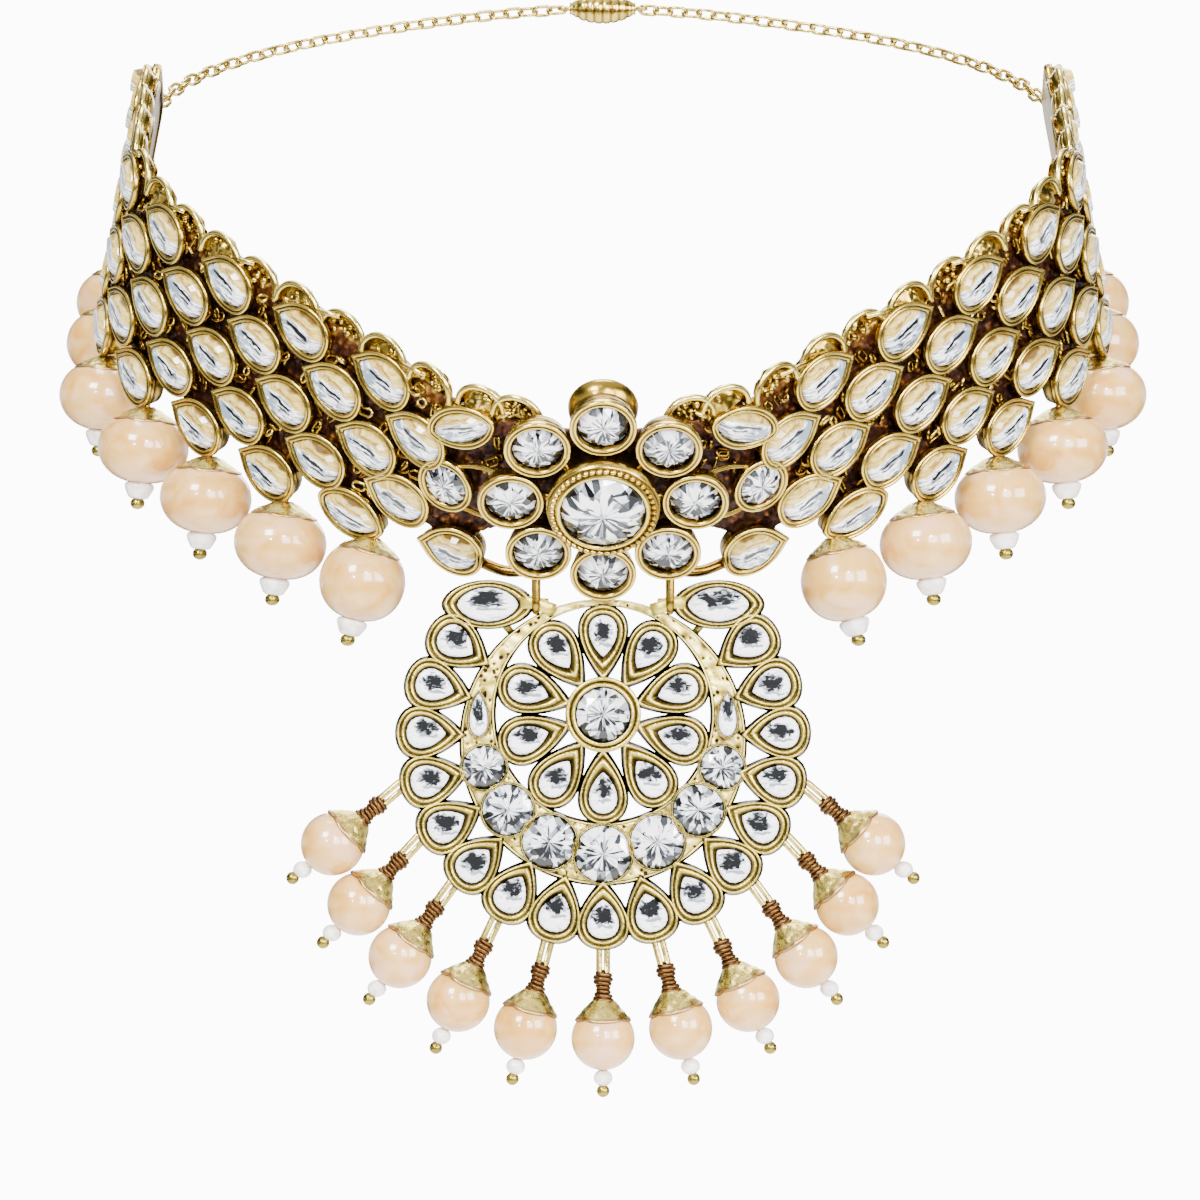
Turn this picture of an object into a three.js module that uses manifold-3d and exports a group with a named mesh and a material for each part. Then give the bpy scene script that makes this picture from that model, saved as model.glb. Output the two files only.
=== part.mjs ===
// Kundan necklace, in millimetres. +Z is up, the front faces -Y, +X is the right of the picture,
// and the origin is the middle of the neck opening. A collar of five staggered rows of stone-set
// cups meets at a round flower of nine stones. A round pendant hangs from two rings under the
// flower. Pearl drops hang from the lower edge of the collar and from the pendant's rim, and a
// plain chain with a clasp closes the loop behind the neck.

import * as THREE from 'three';
import { mergeVertices } from 'three/addons/utils/BufferGeometryUtils.js';
import Module from 'manifold-3d';

const wasm = await Module();
wasm.setup();

// Fits
const clearance = 0.3;

// Collar: its cups, and how the rows and columns of them nest
const rowCount = 5;
const columnCount = 8;
const cupLength = 9.6;
const cupWidth = 6.7;
const cupHeight = 2.8;
const cupTurn = 9;
const rowNest = 1.15;
const columnGap = 4.4;
const columnPitch = cupLength + columnGap;
const bandHeight = (rowCount - 1) * (cupWidth - rowNest);

// Every stone setting
const rimWidth = 0.7;
const stoneRise = 0.4;
const baseShare = 0.8;
const tableShare = 0.5;
const stoneSides = 12;
const pearTaper = 0.45;
const pearFullness = 1.08;
const bezelBaseShare = 0.92;
const brilliantTableShare = 0.62;
const brilliantCrownShare = 0.12;

// Flat links that join the cups of the collar
const linkWidth = 0.9;
const linkThickness = 0.8;
const linkDepth = 1.6;
const linkedRow = 3;

// Flower at the centre of the collar
const flowerPlace = new THREE.Vector3(0, -52.5, -37.7);
const flowerLean = 39;
const flowerCupCount = 8;
const flowerCupWidth = 8.6;
const flowerRadius = 11.8;
const flowerBezelWidth = 14.6;
const flowerBezelRise = 2.2;
const flowerStoneWidth = 10.8;
const flowerToCollar = 2.7;
const firstColumnAt = flowerRadius + cupLength / 2 + flowerToCollar;

// Pendant: a crescent ring, whose hole lies above its centre, and a hub with petals in the hole
const pendantRingRadius = 18.6;
const crescentTopWidth = 0.8;
const crescentBottomWidth = 8;
const pendantHoleRadius = pendantRingRadius - (crescentTopWidth + crescentBottomWidth) / 2;
const pendantHoleRise = (crescentBottomWidth - crescentTopWidth) / 2;
const pendantPlate = 1.5;
const pendantCupRise = 0.8;
const hubWidth = 8.8;
const hubStoneWidth = 6.6;
const petalCount = 10;
const petalLength = 6.8;
const petalWidth = 5.6;
const petalIntoRing = 0.1;
const petalRadius = pendantHoleRadius - petalLength / 2 + petalIntoRing;
const strutWidth = 0.9;

// Pears round the crescent, and a marquise on each side of the top
const pearsEachSide = 8;
const pearSpacing = 15.5;
const pearLength = 7.2;
const pearWidth = 6.75;
const pearStandoff = 1.2;
const pearRadius = pendantRingRadius + pearStandoff + pearLength / 2;
const marquiseLength = 11;
const marquiseWidth = 6.2;
const marquiseAngle = 40;

// Suspension: two rings on pins behind the flower carry the pendant
const hingePlace = new THREE.Vector3(0, -39.5, -45.7);
const ringToMarquise = 0.8;
const ringWire = 0.7;
const ringDepth = 3.8;
const pinRadius = 0.4;
const pinSpacing = 4.4;
const pinHalf = 1.4;
const pinAboveMarquise = 0.5;
const postInset = 1.6;

// Pearl drops
const pearlDiameter = 8;
const rondelleDiameter = 12;
const rondelleHeight = 9.4;
const capDrop = 1.6;
const neckDiameter = 2.6;
const neckLength = 4.0;
const linkPinDiameter = 0.9;
const linkPinLength = 3.4;
const collarNeckLength = 1.2;
const collarDropGap = 0.4;
const beadSides = 10;
const pearlFoot = { radius: 0.62, height: 0.91 };
const capEdgeShare = 0.78;

// Closure behind the neck
const endPlateLength = 10;
const endPlateThickness = 1.4;
const endPlateTip = 3;
const chainDiameter = 2.0;
const chainSides = 8;
const chainStep = 8;
const chainRowShare = 0.3;
const claspLength = 10;
const claspDiameter = 4.6;
const claspEndShare = 0.3;

// The top row of the collar from the front centre round to the back centre, on the +X side.
// at is a place on the row, and lean is how far the lowest row lies from it, in band heights.
const route = [
  { at: [0, -55, -31.8], lean: [0, 0.58, -0.7] },
  { at: [18.3, -51, -28.1], lean: [0.04, 0.58, -0.71] },
  { at: [28.6, -45.3, -21.6], lean: [0.2, 0.52, -0.78] },
  { at: [39.7, -39.3, -14.7], lean: [0.24, 0.52, -0.82] },
  { at: [49.8, -32.6, -8.1], lean: [0.23, 0.52, -0.83] },
  { at: [58.9, -24.8, -0.7], lean: [0.24, 0.53, -0.84] },
  { at: [64.7, -14.9, 7.4], lean: [0.22, 0.52, -0.86] },
  { at: [65.3, -2.7, 14.3], lean: [0.2, 0.48, -0.87] },
  { at: [65.8, 10, 20.7], lean: [0.18, 0.45, -0.88] },
  { at: [63.5, 24, 28], lean: [0.15, 0.42, -0.88] },
  { at: [54, 39, 35.5], lean: [0.1, 0.35, -0.9] },
  { at: [33, 51.5, 42], lean: [0.05, 0.3, -0.92] },
  { at: [0, 57, 46], lean: [0, 0.3, -0.93] },
];

// Cups of the collar that differ from the plain pear. Shares are of the plain cup's sizes, turn
// is in degrees from the row's own direction, and shift moves a cup along its row.
const plainCup = { shape: 'pear', turn: cupTurn, lengthShare: 1, widthShare: 1, shift: 0 };
const specialCups = [
  { row: 1, column: 1, shape: 'marquise', turn: -28, lengthShare: 1.06, widthShare: 0.86, shift: 0 },
  { row: 3, column: 1, shape: 'round', turn: 0, lengthShare: 0.76, widthShare: 1.09, shift: 1.9 },
  { row: 4, column: 1.5, shape: 'pear', turn: cupTurn, lengthShare: 1, widthShare: 1, shift: 1.4 },
  { row: 5, column: 1, shape: 'pear', turn: 4, lengthShare: 0.98, widthShare: 1.05, shift: 0 },
  { row: 5, column: 2, shape: 'marquise', turn: 9, lengthShare: 1.04, widthShare: 0.9, shift: 0 },
];

// Stones set on the crescent, by their angle from the lowest point of the hole's circle: a round
// one at the bottom, smaller ones up each arm, then a narrow pear. Widths are cup diameters.
const crescentStones = [
  { shape: 'round', angle: 0, width: 8.2 },
  { shape: 'round', angle: 23, width: 7.8 },
  { shape: 'round', angle: 45, width: 7.4 },
  { shape: 'round', angle: 66, width: 6.4 },
];
const armPearAngle = 90;
const armPearLength = 6.4;
const armPearWidth = 3.2;

// Pendant drops: how far each one leans from straight down, from the middle drop outwards.
const pendantDropLeans = [0, 14.4, 25.2, 36, 43, 49.5];

// Collar drops: the column each one hangs under, how far it is carried from its cup towards the
// centre and outwards, and how wide its pearl is as a share of the rondelle.
const collarDrops = [
  { column: 2, inward: 3.8, outward: 0.6, lean: 14, widthShare: 0.92, heightShare: 1.08 },
  { column: 3, inward: 4.0, outward: 0.6, lean: 8, widthShare: 1, heightShare: 1 },
  { column: 4, inward: 3.4, outward: 0.6, lean: 6, widthShare: 1, heightShare: 1 },
  { column: 5, inward: 4.0, outward: 0.4, lean: 6, widthShare: 1, heightShare: 1 },
  { column: 6, inward: 2.6, outward: 0, lean: 6, widthShare: 1, heightShare: 1 },
  { column: 7, inward: 0.6, outward: 1.4, lean: 12, widthShare: 0.94, heightShare: 1 },
  { column: 8, inward: 0, outward: 1.6, lean: 14, widthShare: 0.94, heightShare: 1 },
];

const goldMaterial = () => new THREE.MeshStandardMaterial({ color: 0xb8923f, roughness: 0.35, metalness: 1 });
const paleGoldMaterial = () => new THREE.MeshStandardMaterial({ color: 0xc9ad63, roughness: 0.4, metalness: 1 });
const stoneMaterial = () => new THREE.MeshStandardMaterial({ color: 0xe6ebee, roughness: 0.08, metalness: 0 });
const pearlMaterial = () => new THREE.MeshStandardMaterial({ color: 0xf0d2b4, roughness: 0.25, metalness: 0 });

const radians = (angle) => angle * Math.PI / 180;
const vector = (x, y, z) => new THREE.Vector3(x, y, z);

// Solids

function toSolid(geometry) {
  const bare = geometry.clone();
  bare.deleteAttribute('normal');
  bare.deleteAttribute('uv');
  const merged = mergeVertices(bare, 1e-4);
  const index = merged.index.array;
  const triangles = [];
  for (let i = 0; i < index.length; i += 3) {
    const [a, b, c] = [index[i], index[i + 1], index[i + 2]];
    if (a !== b && b !== c && c !== a) triangles.push(a, b, c);
  }
  return new wasm.Manifold(new wasm.Mesh({
    numProp: 3,
    vertProperties: new Float32Array(merged.attributes.position.array),
    triVerts: new Uint32Array(triangles),
  }));
}

function toGeometry(body) {
  const mesh = body.getMesh();
  const geometry = new THREE.BufferGeometry();
  geometry.setAttribute('position', new THREE.BufferAttribute(mesh.vertProperties, 3));
  geometry.setIndex(new THREE.BufferAttribute(mesh.triVerts, 1));
  geometry.computeVertexNormals();
  return geometry;
}

// Adds the solids two by two, so that each sum stays small.
function fuse(geometries) {
  let solids = geometries.map(toSolid);
  while (solids.length > 1) {
    const next = [];
    for (let i = 0; i < solids.length; i += 2) {
      next.push(i + 1 < solids.length ? solids[i].add(solids[i + 1]) : solids[i]);
    }
    solids = next;
  }
  return toGeometry(solids[0]);
}

function closed(geometry) {
  return toGeometry(toSolid(geometry));
}

// A closed body through rings of equally many points, each ring counterclockwise seen from the
// last ring's side, with a flat cap on the first and the last.
function loft(rings) {
  const count = rings[0].length;
  const positions = rings.flat().flatMap((point) => [point.x, point.y, point.z]);
  const indices = [];
  for (let ring = 0; ring + 1 < rings.length; ring += 1) {
    for (let i = 0; i < count; i += 1) {
      const a = ring * count + i;
      const b = ring * count + (i + 1) % count;
      indices.push(a, b, a + count, b, b + count, a + count);
    }
  }
  const last = (rings.length - 1) * count;
  for (let i = 1; i + 1 < count; i += 1) {
    indices.push(0, i + 1, i);
    indices.push(last, last + i, last + i + 1);
  }
  const geometry = new THREE.BufferGeometry();
  geometry.setAttribute('position', new THREE.Float32BufferAttribute(positions, 3));
  geometry.setIndex(indices);
  return geometry;
}

// Unit outlines of the cups. The first point is the tip, on +X.
const outlines = {
  round: (angle) => [Math.cos(angle), Math.sin(angle)],
  marquise: (angle) => [Math.cos(angle), Math.sin(angle) * Math.abs(Math.sin(angle)) ** 0.3],
  pear: (angle) => [Math.cos(angle), Math.sin(angle) * (1 - pearTaper * Math.cos(angle)) / pearFullness],
};

// A cup with its stone: back, outer wall, flat rim, then the stone's facets up to its table.
// The rim lies on z = 0, the cup goes down to -height, and its tip points along +X.
function cup({ shape, length, width, height, sides = 8 }) {
  const ring = (lengthAcross, widthAcross, z) => {
    const points = [];
    for (let i = 0; i < sides; i += 1) {
      const [x, y] = outlines[shape](2 * Math.PI * i / sides);
      points.push(vector(x * lengthAcross / 2, y * widthAcross / 2, z));
    }
    return points;
  };
  const stoneLength = length - 2 * rimWidth;
  const stoneWidth = width - 2 * rimWidth;
  return loft([
    ring(length * baseShare, width * baseShare, -height),
    ring(length, width, 0),
    ring(stoneLength, stoneWidth, 0),
    ring(stoneLength * tableShare, stoneWidth * tableShare, stoneRise),
  ]);
}

// A straight flat bar between two places, with its thickness across the normal.
function bar(from, to, width, thickness, normal) {
  const along = to.clone().sub(from);
  const geometry = new THREE.BoxGeometry(along.length(), width, thickness);
  const xAxis = along.clone().normalize();
  const zAxis = normal.clone().addScaledVector(xAxis, -normal.dot(xAxis)).normalize();
  const yAxis = zAxis.clone().cross(xAxis);
  const middle = from.clone().add(to).multiplyScalar(0.5);
  return geometry.applyMatrix4(new THREE.Matrix4().makeBasis(xAxis, yAxis, zAxis).setPosition(middle));
}

// A bar in a flat piece's own plane.
function strut(x0, y0, x1, y1, z, thickness) {
  return bar(vector(x0, y0, z), vector(x1, y1, z), strutWidth, thickness, vector(0, 0, 1));
}

// A round pin along X.
function pin(x0, x1, y, z) {
  const geometry = new THREE.CylinderGeometry(pinRadius, pinRadius, x1 - x0, 6);
  return geometry.rotateZ(-Math.PI / 2).translate((x0 + x1) / 2, y, z);
}

// A turned body from radius and height pairs, its axis on Y.
function turned(profile, sides) {
  return new THREE.LatheGeometry(profile.map(([radius, y]) => new THREE.Vector2(radius, y)), sides);
}

// An oval link in the YZ plane, of round wire.
function ovalLink(height, depth, wire) {
  const radius = (depth - wire) / 2;
  const geometry = new THREE.TorusGeometry(radius, wire / 2, 5, 10);
  const stretch = (height - depth) / 2;
  const position = geometry.attributes.position;
  for (let i = 0; i < position.count; i += 1) {
    const sine = Math.sin(Math.atan2(position.getY(i), position.getX(i)));
    position.setY(i, position.getY(i) + stretch * sine);
  }
  return geometry.rotateY(Math.PI / 2);
}

const group = new THREE.Group();

function addMesh(parent, name, geometry, material) {
  const mesh = new THREE.Mesh(geometry, material);
  mesh.name = name;
  parent.add(mesh);
  return mesh;
}

// Loop

const mirrored = (list) => list.slice(1, -1).reverse().map(([x, y, z]) => [-x, y, z]);
function closedCurve(points) {
  const all = [...points, ...mirrored(points)];
  const curve = new THREE.CatmullRomCurve3(all.map(([x, y, z]) => vector(x, y, z)), true);
  curve.arcLengthDivisions = 800;
  return curve;
}
const topCurve = closedCurve(route.map((station) => station.at));
const leanCurve = closedCurve(route.map((station) => station.lean));
const loopLength = topCurve.getLength();
const columnAt = (column) => firstColumnAt + (column - 1) * columnPitch;

function bandPoint(distance, rowShare) {
  const t = topCurve.getUtoTmapping(distance / loopLength);
  const lean = leanCurve.getPoint(t).multiplyScalar(bandHeight * rowShare);
  return topCurve.getPoint(t).add(lean);
}

// The band at a distance from the front centre: its place, the way along the row, the way down
// the band and the way out of it, on the +X side or mirrored to the other.
function bandFrame(side, distance, rowShare) {
  const place = bandPoint(distance, rowShare);
  const along = bandPoint(distance + 1, rowShare).sub(bandPoint(distance - 1, rowShare)).normalize();
  const down = bandPoint(distance, rowShare + 0.5).sub(bandPoint(distance, rowShare - 0.5));
  down.addScaledVector(along, -down.dot(along)).normalize();
  const out = down.clone().cross(along);
  for (const item of [place, along, down, out]) item.x *= side;
  return { place, along, down, out };
}

// Collar halves

const rowShare = (row) => (row - 1) / (rowCount - 1);
const isWholeColumn = (row) => row % 2 === 1;

const cupKind = (row, column) =>
  specialCups.find((item) => item.row === row && item.column === column) || plainCup;
const cupDistance = (row, column) => columnAt(column) + cupKind(row, column).shift;

function collarCup(side, row, column) {
  const frame = bandFrame(side, cupDistance(row, column), rowShare(row));
  const kind = cupKind(row, column);
  const turn = radians(kind.turn);
  const xAxis = frame.along.clone().multiplyScalar(Math.cos(turn));
  xAxis.addScaledVector(frame.down, -Math.sin(turn));
  const yAxis = frame.out.clone().cross(xAxis);
  const matrix = new THREE.Matrix4().makeBasis(xAxis, yAxis, frame.out).setPosition(frame.place);
  const length = cupLength * kind.lengthShare;
  const width = cupWidth * kind.widthShare;
  return cup({ shape: kind.shape, length, width, height: cupHeight }).applyMatrix4(matrix);
}

// A flat link under the band between two rows and distances.
function collarLink(side, rowA, distanceA, rowB, distanceB) {
  const a = bandFrame(side, distanceA, rowShare(rowA));
  const b = bandFrame(side, distanceB, rowShare(rowB));
  a.place.addScaledVector(a.out, -linkDepth);
  b.place.addScaledVector(b.out, -linkDepth);
  return bar(a.place, b.place, linkWidth, linkThickness, a.out.clone().add(b.out));
}

// The links under one cup: down its column, and along the middle row by way of the half column,
// where they cross the column between.
function cupLinks(side, row, column) {
  const links = [];
  const distance = cupDistance(row, column);
  if (row + 2 <= rowCount) {
    links.push(collarLink(side, row, distance, row + 2, cupDistance(row + 2, column)));
  }
  if (row === linkedRow && column < columnCount) {
    const between = columnAt(column + 0.5);
    links.push(collarLink(side, row, distance, row, between));
    links.push(collarLink(side, row, between, row, cupDistance(row, column + 1)));
  }
  return links;
}

// The short link from a cup of the first column towards a cup of the flower.
function flowerLink(side, row, target) {
  const frame = bandFrame(side, cupDistance(row, 1), rowShare(row));
  const from = frame.place.clone().addScaledVector(frame.out, -linkDepth);
  const way = target.clone().sub(from);
  const wall = flowerCupWidth / 2 * (1 - (1 - baseShare) * linkDepth / cupHeight);
  const reach = way.length() - wall - clearance;
  const to = from.clone().addScaledVector(way.normalize(), reach);
  return bar(from, to, linkWidth, linkThickness, frame.out);
}

const flowerGroup = new THREE.Group();
flowerGroup.position.copy(flowerPlace);
flowerGroup.rotation.x = radians(90 + flowerLean);
flowerGroup.updateMatrixWorld(true);
group.add(flowerGroup);

const flowerCupPlace = (index) => {
  const angle = 2 * Math.PI * index / flowerCupCount;
  return vector(flowerRadius * Math.cos(angle), flowerRadius * Math.sin(angle), 0);
};

function flowerCupInWorld(side, index) {
  const place = flowerCupPlace(index);
  place.x *= side;
  place.z = -linkDepth;
  return flowerGroup.localToWorld(place);
}

function collarHalf(side) {
  const parts = [];
  for (let row = 1; row <= rowCount; row += 1) {
    const first = isWholeColumn(row) ? 1 : 1.5;
    for (let column = first; column <= columnCount; column += 1) {
      parts.push(collarCup(side, row, column), ...cupLinks(side, row, column));
    }
  }
  parts.push(flowerLink(side, 1, flowerCupInWorld(side, 1)));
  parts.push(flowerLink(side, 3, flowerCupInWorld(side, 0)));
  parts.push(flowerLink(side, rowCount, flowerCupInWorld(side, 7)));
  return fuse(parts);
}

addMesh(group, 'collar_left', collarHalf(-1), goldMaterial());
addMesh(group, 'collar_right', collarHalf(1), goldMaterial());

// Round bezel with a pocket, and the brilliant that sits in it. Both stand on the Z axis.

function bezel(width, stoneWidth, low, high) {
  const pocket = stoneWidth / 2 + clearance;
  const floor = high - rimWidth - 2 * clearance;
  const profile = [
    [0, low], [width / 2 * bezelBaseShare, low], [width / 2, high - rimWidth], [width / 2 - rimWidth / 2, high],
    [pocket, high], [pocket, floor], [0, floor],
  ];
  return turned(profile, stoneSides).rotateX(Math.PI / 2);
}

function brilliant(stoneWidth, high) {
  const radius = stoneWidth / 2;
  const girdle = high - rimWidth / 2;
  const table = girdle + stoneWidth * brilliantCrownShare;
  const profile = [
    [0, high - rimWidth - clearance], [radius, high - rimWidth - clearance], [radius, girdle],
    [radius * brilliantTableShare, table], [0, table],
  ];
  return turned(profile, stoneSides).rotateX(Math.PI / 2);
}

// Places on the pendant's plane, about the centre of its ring

const onCircle = (radius, angleFromBottom) => {
  const angle = radians(angleFromBottom);
  return vector(radius * Math.sin(angle), -radius * Math.cos(angle), 0);
};
const marquisePlace = (side) => onCircle(pearRadius, side * (180 - marquiseAngle));
const marquiseTip = marquisePlace(1).x - marquiseLength / 2;
const ringX = marquiseTip - ringToMarquise;
const hingeAboveCentre = marquisePlace(1).y + pinAboveMarquise + pinSpacing;

// Flower

function flowerBody() {
  const parts = [bezel(flowerBezelWidth, flowerStoneWidth, -cupHeight, flowerBezelRise)];
  const hinge = flowerGroup.worldToLocal(hingePlace.clone());
  for (let i = 0; i < flowerCupCount; i += 1) {
    const place = flowerCupPlace(i);
    const size = { shape: 'round', length: flowerCupWidth, width: flowerCupWidth, height: cupHeight };
    parts.push(cup(size).translate(place.x, place.y, 0));
    parts.push(strut(0, 0, place.x, place.y, -linkDepth, linkThickness));
  }
  for (const side of [-1, 1]) {
    const middle = side * ringX;
    parts.push(pin(middle - pinHalf, middle + pinHalf, hinge.y, hinge.z));
    for (const end of [-1, 1]) {
      const x = middle + end * pinHalf;
      const low = vector(x, hinge.y, hinge.z);
      const lower = flowerCupPlace(7);
      const high = vector(x, lower.y - postInset, -linkDepth);
      const past = low.clone().addScaledVector(low.clone().sub(high).normalize(), pinRadius);
      parts.push(bar(past, high, 2 * pinRadius, 2 * pinRadius, vector(1, 0, 0)));
    }
  }
  return fuse(parts);
}

addMesh(flowerGroup, 'flower', flowerBody(), goldMaterial());
addMesh(flowerGroup, 'flower_stone', closed(brilliant(flowerStoneWidth, flowerBezelRise)), stoneMaterial());

// Pendant, drawn flat about the centre of its ring, its front towards +Z

const pendantGroup = new THREE.Group();
const pendantMiddleZ = -pendantPlate / 4;
pendantGroup.rotation.x = radians(90);
pendantGroup.position.copy(hingePlace);
pendantGroup.position.z -= hingeAboveCentre;
pendantGroup.position.y += pendantMiddleZ;
group.add(pendantGroup);

function crescentRing() {
  const shape = new THREE.Shape();
  shape.absarc(0, 0, pendantRingRadius, 0, 2 * Math.PI, false);
  const hole = new THREE.Path();
  hole.absarc(0, pendantHoleRise, pendantHoleRadius, 0, 2 * Math.PI, true);
  shape.holes.push(hole);
  const plate = new THREE.ExtrudeGeometry(shape, { depth: pendantPlate, bevelEnabled: false, curveSegments: 16 });
  return plate.translate(0, 0, -pendantPlate);
}

// A cup standing on the pendant's back plane, its tip turned to the given angle.
function pendantCup(shape, place, tipAngle, length, width) {
  const geometry = cup({ shape, length, width, height: pendantPlate + pendantCupRise });
  return geometry.rotateZ(tipAngle).translate(place.x, place.y, pendantCupRise);
}

function pendantBody() {
  const parts = [crescentRing()];
  const level = -pendantPlate / 2;
  const hubBezel = bezel(hubWidth, hubStoneWidth, -pendantPlate, pendantCupRise + rimWidth);
  parts.push(hubBezel.translate(0, pendantHoleRise, 0));
  for (let i = 0; i < petalCount; i += 1) {
    const angle = 2 * Math.PI * i / petalCount + Math.PI / 2;
    const [x, y] = [Math.cos(angle), Math.sin(angle)];
    const place = vector(petalRadius * x, petalRadius * y + pendantHoleRise, 0);
    parts.push(pendantCup('pear', place, angle + Math.PI, petalLength, petalWidth));
    const end = petalRadius - petalLength / 2 + 2 * rimWidth;
    parts.push(strut(0, pendantHoleRise, end * x, end * y + pendantHoleRise, level, linkThickness));
  }
  for (let i = -pearsEachSide; i <= pearsEachSide; i += 1) {
    const place = onCircle(pearRadius, i * pearSpacing);
    const inner = onCircle(pendantRingRadius - strutWidth, i * pearSpacing);
    const tip = Math.atan2(-place.y, -place.x);
    parts.push(pendantCup('pear', place, tip, pearLength, pearWidth));
    parts.push(strut(inner.x, inner.y, place.x, place.y, level, linkThickness));
  }
  for (const stone of crescentStones) {
    for (const side of stone.angle === 0 ? [1] : [-1, 1]) {
      const place = crescentPlace(side * stone.angle);
      parts.push(pendantCup('round', place, 0, stone.width, stone.width));
    }
  }
  for (const side of [-1, 1]) {
    const arm = crescentPlace(side * armPearAngle);
    parts.push(pendantCup('pear', arm, Math.PI / 2, armPearLength, armPearWidth));
    const marquise = marquisePlace(side);
    parts.push(pendantCup('marquise', marquise, 0, marquiseLength, marquiseWidth));
    const rim = marquise.clone().normalize().multiplyScalar(pendantRingRadius - strutWidth);
    parts.push(strut(rim.x, rim.y, marquise.x, marquise.y, level, linkThickness));
    parts.push(...pendantStaple(side));
  }
  return fuse(parts);
}

// A place on the middle line of the crescent, at an angle from the bottom about the hole's centre.
function crescentPlace(angle) {
  const direction = onCircle(1, angle);
  const rise = pendantHoleRise;
  const along = direction.y * rise;
  const outer = -along + Math.sqrt(along * along + pendantRingRadius ** 2 - rise * rise);
  const middle = (outer + pendantHoleRadius) / 2;
  return vector(direction.x * middle, direction.y * middle + rise, 0);
}

// The lower pin that a suspension ring passes round, from the marquise to a post on the ring.
function pendantStaple(side) {
  const y = hingeAboveCentre - pinSpacing;
  const inner = side * (ringX - pinHalf);
  const outer = side * (marquiseTip + 2 * rimWidth);
  const z = pendantMiddleZ;
  const ringTop = Math.sqrt(pendantRingRadius ** 2 - inner * inner);
  const post = bar(vector(inner, y + pinRadius, z), vector(inner, ringTop - strutWidth, z),
    2 * pinRadius, 2 * pinRadius, vector(0, 0, 1));
  return [pin(Math.min(inner, outer), Math.max(inner, outer), y, z), post];
}

addMesh(pendantGroup, 'pendant_frame', pendantBody(), paleGoldMaterial());
const hubStone = addMesh(pendantGroup, 'pendant_stone',
  closed(brilliant(hubStoneWidth, pendantCupRise + rimWidth)), stoneMaterial());
hubStone.position.y = pendantHoleRise;

const ringHeight = pinSpacing + 2 * (pinRadius + clearance + ringWire);
for (const [name, side] of [['left', -1], ['right', 1]]) {
  const ring = addMesh(pendantGroup, `suspension_ring_${name}`,
    closed(ovalLink(ringHeight, ringDepth, ringWire)), goldMaterial());
  ring.position.set(side * ringX, hingeAboveCentre - pinSpacing / 2, pendantMiddleZ);
}

// Pearl drops. Each hangs down its own -Y axis from the top of its link or neck.

function pearlDrop({ pearlWidth, pearlHeight, pinLength, neck }) {
  const pearl = pearlWidth / 2;
  const neckTop = -pinLength;
  const neckEnd = neckTop - neck;
  const capEnd = neckEnd - capDrop;
  const middle = neckEnd - pearlHeight / 2;
  const profile = [[0, neckEnd - pearlHeight], [pearl * pearlFoot.radius, neckEnd - pearlHeight * pearlFoot.height],
    [pearl, middle], [pearl * capEdgeShare, capEnd], [neckDiameter / 2, neckEnd]];
  if (pinLength > 0) {
    profile.push([neckDiameter / 2, neckTop], [linkPinDiameter / 2, neckTop], [linkPinDiameter / 2, 0]);
  } else {
    profile.push([linkPinDiameter / 2, 0]);
  }
  profile.push([0, 0]);
  return closed(turned(profile, beadSides));
}

for (let i = -5; i <= 5; i += 1) {
  const top = onCircle(pearRadius + pearLength / 2 + clearance, i * pearSpacing);
  const size = { pearlWidth: pearlDiameter, pearlHeight: pearlDiameter, pinLength: linkPinLength, neck: neckLength };
  const drop = addMesh(pendantGroup, `pendant_drop_${i + 6}`, pearlDrop(size), pearlMaterial());
  drop.position.set(top.x, top.y, pendantMiddleZ);
  drop.rotation.z = Math.sign(i) * radians(pendantDropLeans[Math.abs(i)]);
}

// How far the lower edge of a cup of the lowest row lies below the row's line, at a distance
// from the cup's middle towards the centre of the collar.
function edgeBelow(column, inward) {
  const kind = cupKind(rowCount, column);
  const angle = Math.acos(-inward / (cupLength * kind.lengthShare / 2));
  const half = outlines[kind.shape](angle)[1] * cupWidth * kind.widthShare / 2;
  return half + inward * Math.tan(radians(kind.turn));
}

for (const [name, side] of [['left', -1], ['right', 1]]) {
  for (const item of collarDrops) {
    const frame = bandFrame(side, columnAt(item.column), rowShare(rowCount));
    const hangs = vector(side * Math.sin(radians(item.lean)), 0, -Math.cos(radians(item.lean)));
    const top = frame.place.clone();
    top.addScaledVector(frame.along, -item.inward);
    top.addScaledVector(frame.down, edgeBelow(item.column, item.inward) + collarDropGap);
    top.addScaledVector(frame.out, item.outward - linkDepth);
    const drop = addMesh(group, `collar_drop_${name}_${item.column - 1}`, pearlDrop({
      pearlWidth: rondelleDiameter * item.widthShare,
      pearlHeight: rondelleHeight * item.heightShare,
      pinLength: 0,
      neck: collarNeckLength,
    }), pearlMaterial());
    drop.position.copy(top);
    drop.quaternion.setFromUnitVectors(vector(0, -1, 0), hangs);
  }
}

// Closure: an end plate gathers the rows, and a chain runs from its tip to the clasp

const plateAt = columnAt(columnCount) + cupLength / 2 + clearance;

function plateFrame(side) {
  const frame = bandFrame(side, plateAt, 0);
  const up = frame.down.clone().negate();
  const face = frame.along.clone().cross(up);
  const place = frame.place.clone().addScaledVector(frame.out, -linkDepth);
  return new THREE.Matrix4().makeBasis(frame.along, up, face).setPosition(place);
}

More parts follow.
